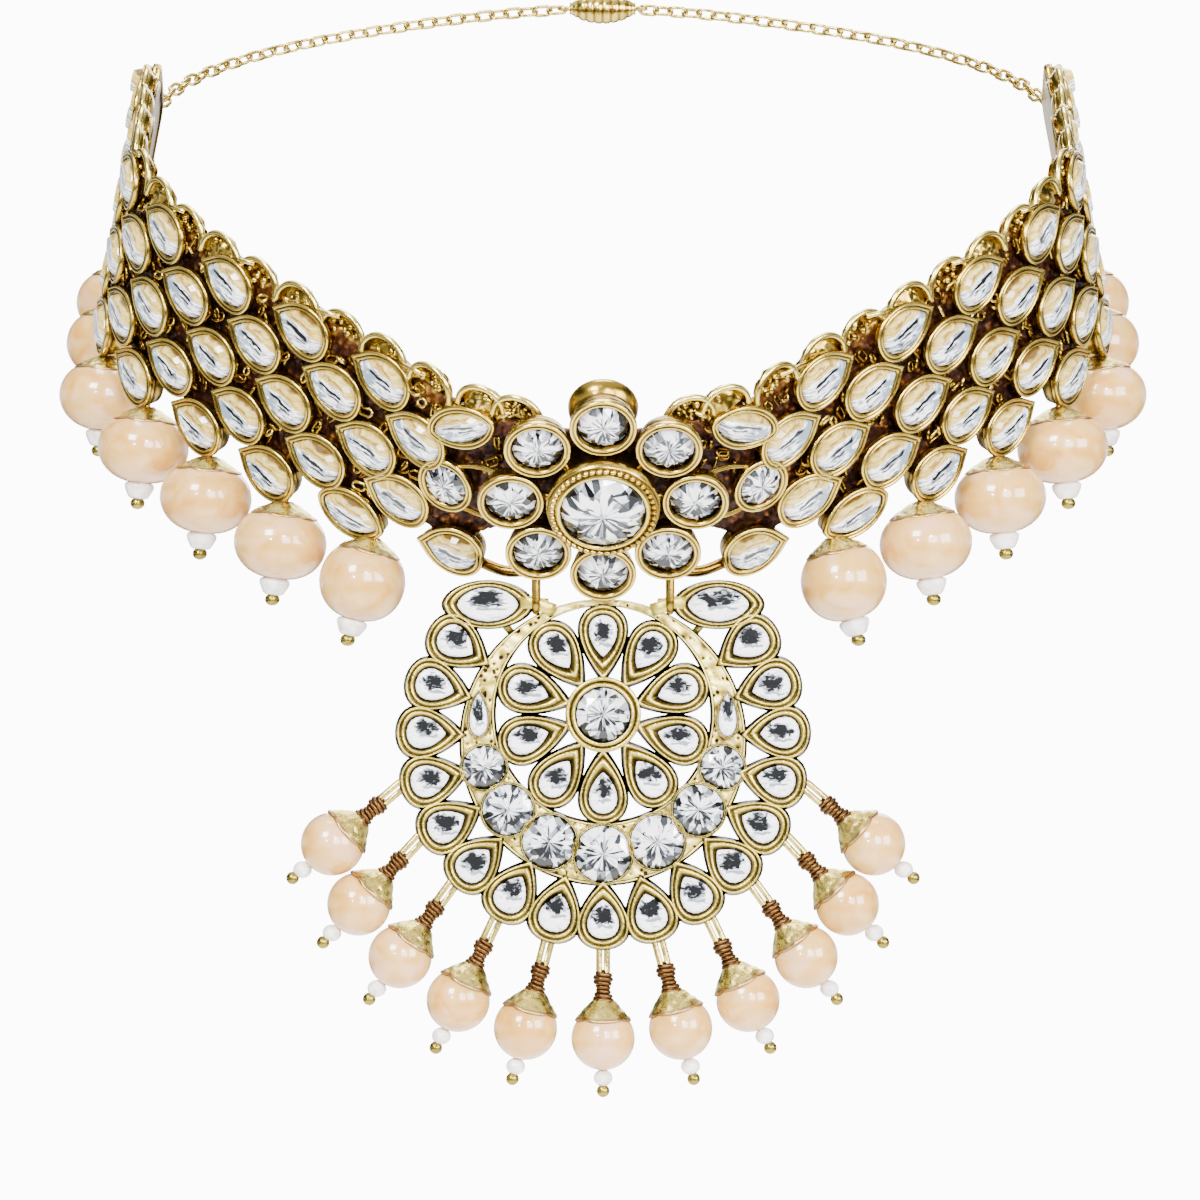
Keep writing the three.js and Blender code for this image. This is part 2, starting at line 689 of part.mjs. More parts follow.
function endPlate(side) {
  const high = cupWidth / 2;
  const low = -bandHeight - cupWidth / 2;
  const tip = -bandHeight * chainRowShare;
  const shape = new THREE.Shape();
  shape.moveTo(0, low);
  shape.lineTo(endPlateTip / 2, low);
  shape.lineTo(endPlateLength, tip - endPlateTip / 2);
  shape.lineTo(endPlateLength, tip + endPlateTip / 2);
  shape.lineTo(endPlateTip / 2, high);
  shape.lineTo(0, high);
  const plate = new THREE.ExtrudeGeometry(shape, { depth: endPlateThickness, bevelEnabled: false });
  return closed(plate.translate(0, 0, -endPlateThickness / 2).applyMatrix4(plateFrame(side)));
}

function chainRoute(side) {
  const start = vector(endPlateLength + clearance, -bandHeight * chainRowShare, 0);
  const points = [start.applyMatrix4(plateFrame(side))];
  const first = plateAt + endPlateLength + chainStep;
  const last = loopLength / 2 - claspLength / 2 - clearance;
  const steps = Math.round((last - first) / chainStep);
  for (let i = 0; i <= steps; i += 1) {
    const frame = bandFrame(side, first + (last - first) * i / steps, chainRowShare);
    points.push(frame.place);
  }
  return new THREE.CatmullRomCurve3(points);
}

function chain(side) {
  const section = new THREE.Shape();
  for (let i = 0; i < chainSides; i += 1) {
    const angle = 2 * Math.PI * i / chainSides;
    const [x, y] = [chainDiameter / 2 * Math.cos(angle), chainDiameter / 2 * Math.sin(angle)];
    if (i === 0) section.moveTo(x, y);
    else section.lineTo(x, y);
  }
  const route = chainRoute(side);
  const steps = Math.round(route.getLength() / chainStep);
  return closed(new THREE.ExtrudeGeometry(section, { extrudePath: route, steps, bevelEnabled: false }));
}

for (const [name, side] of [['left', -1], ['right', 1]]) {
  addMesh(group, `end_plate_${name}`, endPlate(side), goldMaterial());
  addMesh(group, `chain_${name}`, chain(side), goldMaterial());
}

const claspHalf = claspLength / 2;
const claspProfile = [[0, -claspHalf], [claspDiameter * claspEndShare, -claspHalf], [claspDiameter / 2, -claspHalf / 2],
  [claspDiameter / 2, claspHalf / 2], [claspDiameter * claspEndShare, claspHalf], [0, claspHalf]];
const clasp = addMesh(group, 'clasp', closed(turned(claspProfile, beadSides)), goldMaterial());
clasp.rotation.z = Math.PI / 2;
clasp.position.copy(bandPoint(loopLength / 2, chainRowShare));

export default group;
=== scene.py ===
# %% [markdown]
# # A kundan necklace
# The object is a collar of five staggered rows of gold cups with foil-backed glass, a round
# flower at its middle, a round hinged pendant and pearl drops. The solids come from the packed
# CAD model. They are the frame, and every piece made here takes its place from the same sizes.

# %% The frame
import math
import random

import bmesh
import bpy
import numpy as np
from mathutils import Matrix, Vector, noise


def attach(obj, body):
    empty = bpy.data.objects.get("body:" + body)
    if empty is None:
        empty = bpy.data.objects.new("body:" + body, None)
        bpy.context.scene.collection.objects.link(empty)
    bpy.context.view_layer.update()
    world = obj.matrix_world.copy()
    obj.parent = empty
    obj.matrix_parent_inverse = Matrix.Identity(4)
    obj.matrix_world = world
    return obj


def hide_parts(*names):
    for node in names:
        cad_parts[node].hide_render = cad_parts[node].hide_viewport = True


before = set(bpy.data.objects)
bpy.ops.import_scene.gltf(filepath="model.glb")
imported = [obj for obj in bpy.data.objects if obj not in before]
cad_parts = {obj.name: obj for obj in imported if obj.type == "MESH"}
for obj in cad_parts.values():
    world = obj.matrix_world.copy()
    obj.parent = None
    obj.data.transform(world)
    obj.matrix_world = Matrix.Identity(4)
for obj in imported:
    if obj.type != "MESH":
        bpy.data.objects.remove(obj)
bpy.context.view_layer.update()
MM = 0.001

# %% [markdown]
# The photo shows the necklace from straight in front, and a little from above its pendant. The
# camera stands 600 mm before the plane that is 42 mm in front of the neck's middle, level with
# the middle of the picture. One pixel of the 1200 is then 0.13 mm in that plane.

# %% Camera
picture_half_mm = 78.0
camera_distance_mm = 600.0
camera_place_mm = (-0.4, -642.0, -50.0)
sensor_mm = 36.0
camera_data = bpy.data.cameras.new("camera")
camera_data.sensor_width = sensor_mm
camera_data.lens = sensor_mm / 2 * camera_distance_mm / picture_half_mm
camera_data.clip_start = 0.05
camera = bpy.data.objects.new("camera", camera_data)
camera.location = Vector(camera_place_mm) * MM
camera.rotation_euler = (math.radians(90), 0, 0)
bpy.context.scene.collection.objects.link(camera)
bpy.context.scene.camera = camera
print("lens in mm", round(camera_data.lens, 1))

# %% [markdown]
# Finishes start from colours read off the real thing, which are sRGB hex values. Blender wants
# linear ones, so one function turns them, and one small function adds a node with its settings
# and links. Each finish below is named for the real material and how its surface was made.


# %% Colour and node helpers
def linear(hex_colour):
    """An sRGB hex colour as linear red, green, blue and alpha."""
    parts = [int(hex_colour[i:i + 2], 16) / 255 for i in (1, 3, 5)]
    return [c / 12.92 if c <= 0.04045 else ((c + 0.055) / 1.055) ** 2.4 for c in parts] + [1.0]


def node(tree, kind, inputs=None, stops=(), **settings):
    """Adds a node. An input is a value, an sRGB hex colour, or a node or socket to link. stops
    are the (place, hex colour) pairs of a colour ramp."""
    made = tree.nodes.new(kind)
    for name, value in settings.items():
        setattr(made, name, value)
    for name, value in (inputs or {}).items():
        if isinstance(value, bpy.types.Node):
            value = value.outputs[0]
        if isinstance(value, bpy.types.NodeSocket):
            tree.links.new(value, made.inputs[name])
        else:
            made.inputs[name].default_value = linear(value) if isinstance(value, str) else value
    if stops:
        elements = made.color_ramp.elements
        while len(elements) < len(stops):
            elements.new(0.5)
        for element, (place, colour) in zip(elements, stops):
            element.position = place
            element.color = linear(colour)
    return made


def finish(name, **sockets):
    """A new material with a Principled shader, its fixed values set on its own sockets."""
    material = bpy.data.materials.new(name)
    material.use_nodes = True
    shader = material.node_tree.nodes["Principled BSDF"]
    for socket, value in sockets.items():
        shader.inputs[socket.replace("_", " ")].default_value = value
    return material, material.node_tree, shader


def per_metre(size_mm):
    """The texture scale that repeats about once in a size."""
    return 1 / (size_mm * MM)


# %% [markdown]
# Antique gold plate over cast brass. The casting leaves a fine grain, polish brightens the
# edges, and a brown patina stays in the grooves. Each mesh below carries a value from 0 in a
# groove to 1 on a polished edge, and the ramp turns that into colour. It is wear and painted
# light together: the dark end is patina with painted shade in grooves, in recesses and at the
# feet of cups, and the bright end is polish with a painted highlight. The plate behind the cups
# is a maroon sheet of painted shade. A metal keeps the default IOR.


# %% Plated metals
def plated_metal(name, stops, grain_mm, grain_depth, rough_low, rough_high, metallic=1.0):
    """Gold plate whose colour follows the wear and painted shading of the mesh."""
    material, tree, shader = finish(name, Metallic=metallic)
    wear = node(tree, "ShaderNodeAttribute", attribute_name="wear")
    place = node(tree, "ShaderNodeTexCoord").outputs["Object"]
    cloud = node(tree, "ShaderNodeTexNoise", {
        "Vector": place, "Scale": per_metre(2.5), "Detail": 3.0})
    mottle = node(tree, "ShaderNodeMath", {0: cloud, 1: -0.5}, operation="ADD")
    toned = node(tree, "ShaderNodeMath", {
        0: mottle, 1: 0.35, 2: wear.outputs["Fac"]}, operation="MULTIPLY_ADD")
    colour = node(tree, "ShaderNodeValToRGB", {"Fac": toned}, stops)
    tree.links.new(colour.outputs["Color"], shader.inputs["Base Color"])
    grain = node(tree, "ShaderNodeTexNoise", {
        "Vector": place, "Scale": per_metre(grain_mm), "Detail": 4.0})
    rough = node(tree, "ShaderNodeMapRange", {
        "Value": grain, "To Min": rough_low, "To Max": rough_high})
    tree.links.new(rough.outputs[0], shader.inputs["Roughness"])
    bump = node(tree, "ShaderNodeBump", {
        "Height": grain, "Strength": grain_depth, "Distance": 0.1 * MM})
    tree.links.new(bump.outputs["Normal"], shader.inputs["Normal"])
    return material


antique_gold = plated_metal("antique_gold_plate", [
    (0.0, "#3A220C"), (0.2, "#644616"), (0.42, "#8A7028"), (0.7, "#B09642"), (1.0, "#D8C46A")],
    grain_mm=0.7, grain_depth=0.35, rough_low=0.14, rough_high=0.32)
pale_gold = plated_metal("pale_gold_plate", [
    (0.0, "#1A1208"), (0.2, "#463A12"), (0.42, "#70642A"), (0.7, "#A69540"), (1.0, "#DAC76C")],
    grain_mm=0.5, grain_depth=0.6, rough_low=0.18, rough_high=0.38)
wrapped_wire = plated_metal("bronze_wrapping_wire", [
    (0.0, "#1E1208"), (0.3, "#3C2612"), (0.6, "#5C4022"), (1.0, "#B08E5C")],
    grain_mm=0.4, grain_depth=0.3, rough_low=0.25, rough_high=0.45)
shade_sheet_finish = plated_metal("maroon_painted_shade_sheet", [
    (0.0, "#200A04"), (0.25, "#42200E"), (0.45, "#774C1C"), (0.65, "#A67E2E"), (1.0, "#D8B656")],
    grain_mm=0.6, grain_depth=0.5, rough_low=0.28, rough_high=0.5, metallic=0.7)
pitted_gold = plated_metal("pitted_cast_gold", [
    (0.0, "#241A0A"), (0.2, "#54441A"), (0.42, "#948034"), (0.7, "#DAC650"), (1.0, "#FFF08C")],
    grain_mm=0.4, grain_depth=0.6, rough_low=0.25, rough_high=0.45, metallic=0.75)
print("plated metals made")

# %% [markdown]
# A kundan stone is flat cut glass over silver foil. What the eye sees in it is the crinkled
# foil and what it mirrors, painted here as colour: a champagne reflection of the gold wall near
# the upper edge, a blue-grey reflected patch at the tip, a dark reflected line through the
# middle, a painted shadow under the upper rim and white elsewhere. The stones carry a map of
# their own plan, from -1 to 1 along and across, and one function paints these reflections and
# shadows on it from a list. Glass has an IOR of 1.52. Cut facets are real ones in the mesh.


# %% Foiled glass
def paint_reflection_and_shade(tree, ground, marks):
    """Paints marks of reflection and shade on the foil, each over the last. A mark is a colour and
    its edges, and an edge is a value, where it starts and where it is full. With a middle as
    well, it is a line, whose start and full places are half widths."""
    for colour, *edges in marks:
        mask = 1.0
        for value, start, full, *middle in edges:
            if middle:
                away = node(tree, "ShaderNodeMath", {0: value, 1: -middle[0]}, operation="ADD")
                value = node(tree, "ShaderNodeMath", {0: away}, operation="ABSOLUTE")
            edge = node(tree, "ShaderNodeMapRange", {
                "Value": value, "From Min": start, "From Max": full},
                interpolation_type="SMOOTHSTEP")
            mask = node(tree, "ShaderNodeMath", {0: mask, 1: edge}, operation="MULTIPLY")
        ground = node(tree, "ShaderNodeMix", {"Factor": mask, 6: ground, 7: colour},
                      data_type="RGBA").outputs[2]
    return ground


def foil_base(name, crinkle_depth, gloss):
    """Cut glass over foil: its shader, its crinkled plan map, its facet noise and its fine
    streaks. Each stone keeps a random number of its own where metal keeps its wear, so no two
    foils crinkle alike."""
    material, tree, shader = finish(
        name, Roughness=0.1, IOR=1.52, Specular_IOR_Level=gloss, Coat_Weight=gloss,
        Coat_Roughness=0.03)
    own = node(tree, "ShaderNodeAttribute", attribute_name="wear").outputs["Fac"]
    seed = node(tree, "ShaderNodeMath", {0: own, 1: 40.0}, operation="MULTIPLY").outputs[0]
    slide = node(tree, "ShaderNodeMath", {0: own, 1: 0.3, 2: -0.15}, operation="MULTIPLY_ADD")
    plan = node(tree, "ShaderNodeVectorMath", {
        0: node(tree, "ShaderNodeUVMap", uv_map="plan"),
        1: node(tree, "ShaderNodeCombineXYZ", {1: slide})}, operation="ADD")
    crinkle = node(tree, "ShaderNodeTexNoise", {
        "Vector": plan, "W": seed, "Scale": 2.4, "Detail": 3.0}, noise_dimensions="4D")
    shift = node(tree, "ShaderNodeVectorMath", {
        0: crinkle.outputs["Color"], 1: (crinkle_depth, crinkle_depth, 0.0)},
        operation="MULTIPLY")
    crinkled = node(tree, "ShaderNodeVectorMath", {0: plan, 1: shift}, operation="ADD")
    centred = node(tree, "ShaderNodeVectorMath", {
        0: crinkled, 1: (-crinkle_depth / 2, -crinkle_depth / 2, 0.0)}, operation="ADD")
    split = node(tree, "ShaderNodeSeparateXYZ", {0: centred})
    facets = node(tree, "ShaderNodeTexVoronoi", {
        "Vector": centred, "W": seed, "Scale": 3.6}, voronoi_dimensions="4D")
    facet = node(tree, "ShaderNodeSeparateColor", {0: facets.outputs["Color"]})
    stretched = node(tree, "ShaderNodeVectorMath", {
        0: centred, 1: (1.6, 6.0, 1.0)}, operation="MULTIPLY")
    streaks = node(tree, "ShaderNodeTexNoise", {
        "Vector": stretched, "W": seed, "Scale": 1.5, "Detail": 4.0, "Roughness": 0.65},
        noise_dimensions="4D")
    return material, tree, shader, split.outputs[0], split.outputs[1], facet, streaks


def foiled_pear():
    """The long stones of the collar, with painted reflections in the foil: the gold wall's
    reflection in champagne along the upper edge and silver below, and a painted shadow of the
    rim along the top.
    """
    material, tree, shader, u, v, facet, streaks = foil_base("foiled_pear_glass", 0.42, 0.5)
    # Painted reflections in the silver: grey and dark streaks, and a blue-grey patch towards the
    # tip.
    silver = paint_reflection_and_shade(tree, "#FFFFFF", [
        ("#84929A", (streaks, 0.47, 0.55)),
        ("#262C30", (streaks, 0.58, 0.63)),
        ("#7C8E98", (u, -0.1, 0.2), (v, 0.3, 0.1), (facet, 0.8, 0.5))])
    # A painted reflection of the gold wall, champagne with lighter streaks.
    gold_wall_reflection = paint_reflection_and_shade(tree, "#B09640", [("#D6C070", (streaks, 0.42, 0.6))])
    bend = node(tree, "ShaderNodeMath", {0: u, 1: 0.25, 2: 0.02}, operation="MULTIPLY_ADD")
    arch = node(tree, "ShaderNodeMath", {0: bend, 1: u, 2: v}, operation="MULTIPLY_ADD")
    lower = node(tree, "ShaderNodeMath", {0: arch, 1: -0.25}, operation="ADD")
    arch = node(tree, "ShaderNodeMath", {0: streaks, 1: 0.5, 2: lower}, operation="MULTIPLY_ADD")
    reflected_dark_line = node(tree, "ShaderNodeMath", {0: u, 1: -0.12, 2: v}, operation="MULTIPLY_ADD")
    # Over the silver: the gold wall's painted reflection above the arch, painted dark reflected
    # lines through the middle and towards the back, a brown line inside the champagne, a grey arc
    # of painted shade inside the lower rim, and a dark brown band along the top, which is the
    # painted shadow of the upper rim.
    tree.links.new(paint_reflection_and_shade(tree, silver, [
        (gold_wall_reflection, (arch, 0.36, 0.42)),
        ("#15181A", (reflected_dark_line, 0.11, 0.06, 0.1), (u, 0.6, 0.45, -0.05)),
        ("#3A4246", (v, 0.08, 0.03, -0.16), (u, 0.33, 0.25, -0.3)),
        ("#8A6A30", (arch, 0.07, 0.03, 0.62), (u, 0.55, 0.4, 0.0)),
        ("#565D60", (v, 0.09, 0.04, -0.74), (u, 0.65, 0.5, -0.1)),
        ("#5A4216", (v, 0.82, 0.98))]), shader.inputs["Base Color"])
    return material


def foiled_petal():
    """The short stones of the pendant, with painted reflections: dark towards the top and white
    below.
    """
    material, tree, shader, u, v, facet, streaks = foil_base("foiled_petal_glass", 0.5, 0.25)
    wide = node(tree, "ShaderNodeMath", {0: u, 1: 1.5}, operation="MULTIPLY")
    high = node(tree, "ShaderNodeMath", {0: v, 1: 2.0, 2: -0.55}, operation="MULTIPLY_ADD")
    high_square = node(tree, "ShaderNodeMath", {0: high, 1: high}, operation="MULTIPLY")
    reach = node(tree, "ShaderNodeMath", {0: wide, 1: wide, 2: high_square},
                 operation="MULTIPLY_ADD")
    split = node(tree, "ShaderNodeMath", {0: facet, 1: 0.8, 2: reach}, operation="MULTIPLY_ADD")
    ragged = node(tree, "ShaderNodeMath", {0: streaks, 1: 3.0, 2: split},
                  operation="MULTIPLY_ADD")
    # Painted reflections: grey streaks, a dark blot with a grey ragged edge over the upper part,
    # and a grey line low down.
    tree.links.new(paint_reflection_and_shade(tree, "#FCFCFB", [
        ("#AEB6BA", (streaks, 0.5, 0.66)),
        ("#7A8286", (ragged, 3.0, 2.75)),
        ("#0A0C0E", (ragged, 2.65, 2.45)),
        ("#7D868A", (v, 0.11, 0.05, -0.3), (u, 0.55, 0.4, 0.15))]), shader.inputs["Base Color"])
    return material


def cut_brilliant():
    """Round stones with painted reflections. Each facet in the mesh has its own tone of painted
    reflection, and through it the eye sees the lower facets as painted splinters that run out
    from the middle, painted darker towards the bottom of the stone."""
    material, tree, shader = finish(
        "cut_brilliant_glass", Metallic=0.2, Roughness=0.05, IOR=1.52, Coat_Weight=0.5,
        Coat_Roughness=0.02)
    tone = node(tree, "ShaderNodeAttribute", attribute_name="facet_reflection").outputs["Fac"]
    own = node(tree, "ShaderNodeAttribute", attribute_name="wear").outputs["Fac"]
    split = node(tree, "ShaderNodeSeparateXYZ", {
        0: node(tree, "ShaderNodeUVMap", uv_map="plan")})
    u, v = split.outputs[0], split.outputs[1]
    angle = node(tree, "ShaderNodeMath", {0: v, 1: u}, operation="ARCTAN2")
    v_square = node(tree, "ShaderNodeMath", {0: v, 1: v}, operation="MULTIPLY")
    square = node(tree, "ShaderNodeMath", {0: u, 1: u, 2: v_square}, operation="MULTIPLY_ADD")
    away = node(tree, "ShaderNodeMath", {0: square, 1: 0.5}, operation="POWER")
    polar = node(tree, "ShaderNodeCombineXYZ", {
        0: node(tree, "ShaderNodeMath", {0: angle, 1: 2.6}, operation="MULTIPLY"),
        1: node(tree, "ShaderNodeMath", {0: away, 1: 1.7}, operation="MULTIPLY")})
    seed = node(tree, "ShaderNodeMath", {0: own, 1: 60.0}, operation="MULTIPLY")
    splinters = node(tree, "ShaderNodeTexVoronoi", {
        "Vector": polar, "W": seed, "Scale": 1.6, "Randomness": 0.9}, voronoi_dimensions="4D")
    splinter = node(tree, "ShaderNodeSeparateColor", {0: splinters.outputs["Color"]})
    # Painted shade: the splinters darken towards the bottom of the stone.
    low = node(tree, "ShaderNodeMapRange", {"Value": v, "From Min": 0.5, "From Max": -0.6},
               interpolation_type="SMOOTHSTEP")
    depth = node(tree, "ShaderNodeMath", {0: low, 1: -0.25, 2: splinter},
                 operation="MULTIPLY_ADD")
    faced = node(tree, "ShaderNodeMath", {0: tone, 1: 0.35}, operation="MULTIPLY")
    both = node(tree, "ShaderNodeMath", {0: depth, 1: 0.85, 2: faced}, operation="MULTIPLY_ADD")
    colour = node(tree, "ShaderNodeValToRGB", {"Fac": both}, [
        (0.26, "#0C0F11"), (0.4, "#353C40"), (0.56, "#9CA5A9"), (0.7, "#E6E9EA"),
        (0.92, "#FFFFFF")])
    tree.links.new(colour.outputs["Color"], shader.inputs["Base Color"])
    return material


pear_glass = foiled_pear()
petal_glass = foiled_petal()
brilliant_glass = cut_brilliant()
print("glass made")

# %% [markdown]
# Faux pearls are glass beads dipped in pearl essence: peach and cream in clouds, with a satin
# gloss under a clear coat and a faint pink sheen. The small beads below them are white glass.

# %% Pearls and beads
peach_pearl, tree, shader = finish(
    "dipped_peach_pearl", Roughness=0.26, Coat_Weight=1.0, Coat_Roughness=0.06,
    Sheen_Weight=0.15, Sheen_Roughness=0.35, Subsurface_Weight=0.15,
    Subsurface_Scale=1.5 * MM)
shader.inputs["Sheen Tint"].default_value = linear("#F4D2EC")
place = node(tree, "ShaderNodeTexCoord").outputs["Object"]
cloud = node(tree, "ShaderNodeTexNoise", {
    "Vector": place, "Scale": per_metre(5.0), "Detail": 2.0, "Distortion": 1.2})
colour = node(tree, "ShaderNodeValToRGB", {"Fac": cloud}, [
    (0.3, "#C8903A"), (0.45, "#D0A04C"), (0.58, "#D6AA60"), (0.72, "#D8A880")])
tree.links.new(colour.outputs["Color"], shader.inputs["Base Color"])
skin = node(tree, "ShaderNodeTexNoise", {"Vector": place, "Scale": per_metre(0.8), "Detail": 2.0})
dimple = node(tree, "ShaderNodeBump", {
    "Height": skin, "Strength": 0.12, "Distance": 0.1 * MM})
tree.links.new(dimple.outputs["Normal"], shader.inputs["Normal"])

white_bead, tree, shader = finish(
    "white_glass_bead", Roughness=0.28, Coat_Weight=0.6, Coat_Roughness=0.1)
place = node(tree, "ShaderNodeTexCoord").outputs["Object"]
swirl = node(tree, "ShaderNodeTexNoise", {"Vector": place, "Scale": per_metre(1.2)})
colour = node(tree, "ShaderNodeValToRGB", {"Fac": swirl}, [(0.35, "#D9D4C6"), (0.6, "#F4F2EA")])
tree.links.new(colour.outputs["Color"], shader.inputs["Base Color"])
print("pearl and bead made")

# %% [markdown]
# A necklace repeats small forms hundreds of times. So each joined piece is gathered as arrays
# of points and faces, with the wear and painted shading of each point, and becomes one mesh at
# the end. That is quicker than hundreds of objects, and every copy can still lie its own way.


# %% A gathering of small forms
class Gathering:
    """Points, faces, wear with painted shading, and plan maps of many small forms that
    become one mesh.
    """

    def __init__(self):
        self.points, self.faces, self.wear, self.plan, self.tone = [], [], [], [], []
        self.slots, self.smooth, self.count = [], [], 0

    def add(self, points, faces, wear=0.6, plan=None, tone=0.5, slot=0, smooth=True):
        points = np.asarray(points, float).reshape(-1, 3)
        size = len(points)
        self.points.append(points)
        self.wear.append(np.broadcast_to(np.asarray(wear, float), (size,)))
        self.plan.append(np.zeros((size, 2)) if plan is None else np.asarray(plan, float))
        self.faces.extend([tuple(i + self.count for i in face) for face in faces])
        self.tone.extend([tone] * len(faces) if np.isscalar(tone) else list(tone))
        self.slots.extend([slot] * len(faces) if np.isscalar(slot) else list(slot))
        self.smooth.extend([smooth] * len(faces) if isinstance(smooth, bool) else list(smooth))
        self.count += size

    def make(self, name, materials, body="root", replaces=(), slot="antique_gold"):
        """The joined mesh, with its materials, riding on a body of the frame."""
        mesh = bpy.data.meshes.new(name)
        mesh.from_pydata(np.concatenate(self.points).tolist(), [], self.faces)
        mesh.polygons.foreach_set("use_smooth", self.smooth)
        mesh.polygons.foreach_set("material_index", self.slots)
        wear = mesh.attributes.new("wear", "FLOAT", "POINT")
        wear.data.foreach_set("value", np.concatenate(self.wear).astype(np.float32))
        tone = mesh.attributes.new("facet_reflection", "FLOAT", "FACE")
        tone.data.foreach_set("value", np.array(self.tone, np.float32))
        plan = np.concatenate(self.plan)
        layer_map = mesh.uv_layers.new(name="plan")
        corners = np.empty(len(mesh.loops), int)
        mesh.loops.foreach_get("vertex_index", corners)
        layer_map.data.foreach_set("uv", plan[corners].astype(np.float32).ravel())
        sheet = bmesh.new()
        sheet.from_mesh(mesh)
        bmesh.ops.recalc_face_normals(sheet, faces=sheet.faces)
        sheet.to_mesh(mesh)
        sheet.free()
        for material in materials:
            mesh.materials.append(material)
        piece = bpy.data.objects.new(name, mesh)
        bpy.context.scene.collection.objects.link(piece)
        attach(piece, body)
        if replaces:
            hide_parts(*replaces)
        print(name, len(mesh.polygons), "faces")
        return piece


def skin_faces(rings, sides, capped=True):
    """Quads between rings of points, with a polygon at each end."""
    faces = []
    for ring in range(rings - 1):
        for i in range(sides):
            a, b = ring * sides + i, ring * sides + (i + 1) % sides
            faces.append((a, b, b + sides, a + sides))
    if capped:
        faces.append(tuple(range(sides - 1, -1, -1)))
        faces.append(tuple((rings - 1) * sides + i for i in range(sides)))
    return faces


def shell_faces(rows, wide, goes_round=False):
    """A thin shell: a grid of outer points, the same grid of inner ones after it, and the strips
    that close its edges. One that goes round has no edges across its rows."""
    faces, inner = [], rows * wide
    columns = range(wide if goes_round else wide - 1)
    for row in range(rows - 1):
        for k in columns:
            a, b = row * wide + k, row * wide + (k + 1) % wide
            faces.append((a, b, b + wide, a + wide))
            faces.append((a + inner, a + wide + inner, b + wide + inner, b + inner))
    for row in (0, rows - 1):
        for k in columns:
            a, b = row * wide + k, row * wide + (k + 1) % wide
            faces.append((a, a + inner, b + inner, b))
    for k in () if goes_round else (0, wide - 1):
        for row in range(rows - 1):
            a = row * wide + k
            faces.append((a, a + inner, a + wide + inner, a + wide))
    return faces


def moved(matrix, points):
    """Points of a small form in millimetres, laid where a matrix says, in metres."""
    turn = np.array(matrix.to_3x3())
    return np.asarray(points, float) * MM @ turn.T + np.array(matrix.translation * MM)


# %% [markdown]
# Wire, rings and links are all a round section swept along a path. The section is carried
# along without twisting, so a closed link joins up with itself.


# %% Swept wire
def wire(gathering, path, radius, sides=8, closed=False, wear=0.75, flat=1.0, normal=None, slot=0):
    """A wire along a path in millimetres. flat squeezes its section across the normal."""
    path = [Vector(p) for p in path]
    count = len(path)
    points, shades = [], []
    across = None
    for i, here in enumerate(path):
        after = path[(i + 1) % count] if closed or i + 1 < count else here
        before = path[i - 1] if closed or i > 0 else here
        way = (after - before).normalized()
        if normal is not None:
            up = (Vector(normal) - way * way.dot(Vector(normal))).normalized()
        else:
            guess = across.copy() if across else way.orthogonal()
            up = (guess - way * way.dot(guess)).normalized()
        across = up
        side = way.cross(up)
        for k in range(sides):
            angle = 2 * math.pi * k / sides
            spread = side * math.cos(angle) + up * math.sin(angle) * flat
            points.append((here + spread * radius) * MM)
            shades.append(wear)
    faces = skin_faces(count, sides, capped=not closed)
    if closed:
        last = (count - 1) * sides
        start_turn = best_turn(points[last:last + sides], points[:sides])
        for k in range(sides):
            a, b = last + k, last + (k + 1) % sides
            c = (k + 1 + start_turn) % sides
            faces.append((a, b, c, (k + start_turn) % sides))
    gathering.add(points, faces, wear=shades, slot=slot)


def best_turn(ring, target):
    """By how many places a ring is turned to meet another with the shortest seams."""
    sides = len(ring)
    costs = [sum((Vector(ring[k]) - Vector(target[(k + turn) % sides])).length
                 for k in range(sides)) for turn in range(sides)]
    return costs.index(min(costs))


def link(gathering, matrix, length, width, radius, wear=0.75, sides=6, steps=20):
    """An oval link of wire, its length along the matrix's X axis and its width along Y."""
    straight = (length - width) / 2
    path = []
    for i in range(steps):
        angle = 2 * math.pi * (i + 0.5) / steps
        x = (width / 2 - radius) * math.cos(angle) + math.copysign(straight, math.cos(angle))
        path.append(matrix @ Vector((x, (width / 2 - radius) * math.sin(angle), 0)))
    wire(gathering, path, radius, sides=sides, closed=True, wear=wear)


def turned(gathering, matrix, profile, sides=24, wear=None, slot=0):
    """A turned form: (radius, height) pairs swept round the matrix's Z axis."""
    points, shades = [], []
    for row, (radius, height) in enumerate(profile):
        for i in range(sides):
            angle = 2 * math.pi * i / sides
            points.append((radius * math.cos(angle), radius * math.sin(angle), height))
            shades.append(0.7 if wear is None else wear[row])
    gathering.add(moved(matrix, points), skin_faces(len(profile), sides), wear=shades, slot=slot)


def ball(gathering, centre, radius, sides=14, rows=8, stretch=1.0, wear=0.85):
    """A small ball, stretched along Z when asked."""
    profile = []
    for row in range(rows + 1):
        angle = math.pi * row / rows
        profile.append((max(radius * math.sin(angle), 0.01 * radius),
                        -radius * stretch * math.cos(angle)))
    turned(gathering, Matrix.Translation(centre), profile, sides, [wear] * (rows + 1))


# %% [markdown]
# Every stone sits in a cup: a gold wall on a closed back that widens to a rim of two bright
# lines with a groove between them. The cup is drawn as a stack of outlines, each with its inset
# from the edge, its depth, and its wear with painted shading. The pear's outline comes to a
# point, which a real jeweller folds from the strip.

# %% Cup outlines and profile
# How full a plan is, how much it narrows to its tip and how sharp a corner the tip has.
plan_points = {"round": (1.0, 0.0, 0.0), "full pear": (0.9, 0.42, 0.11),
               "pear": (0.95, 0.7, 0.0), "petal": (1.0, 1.1, 0.0)}


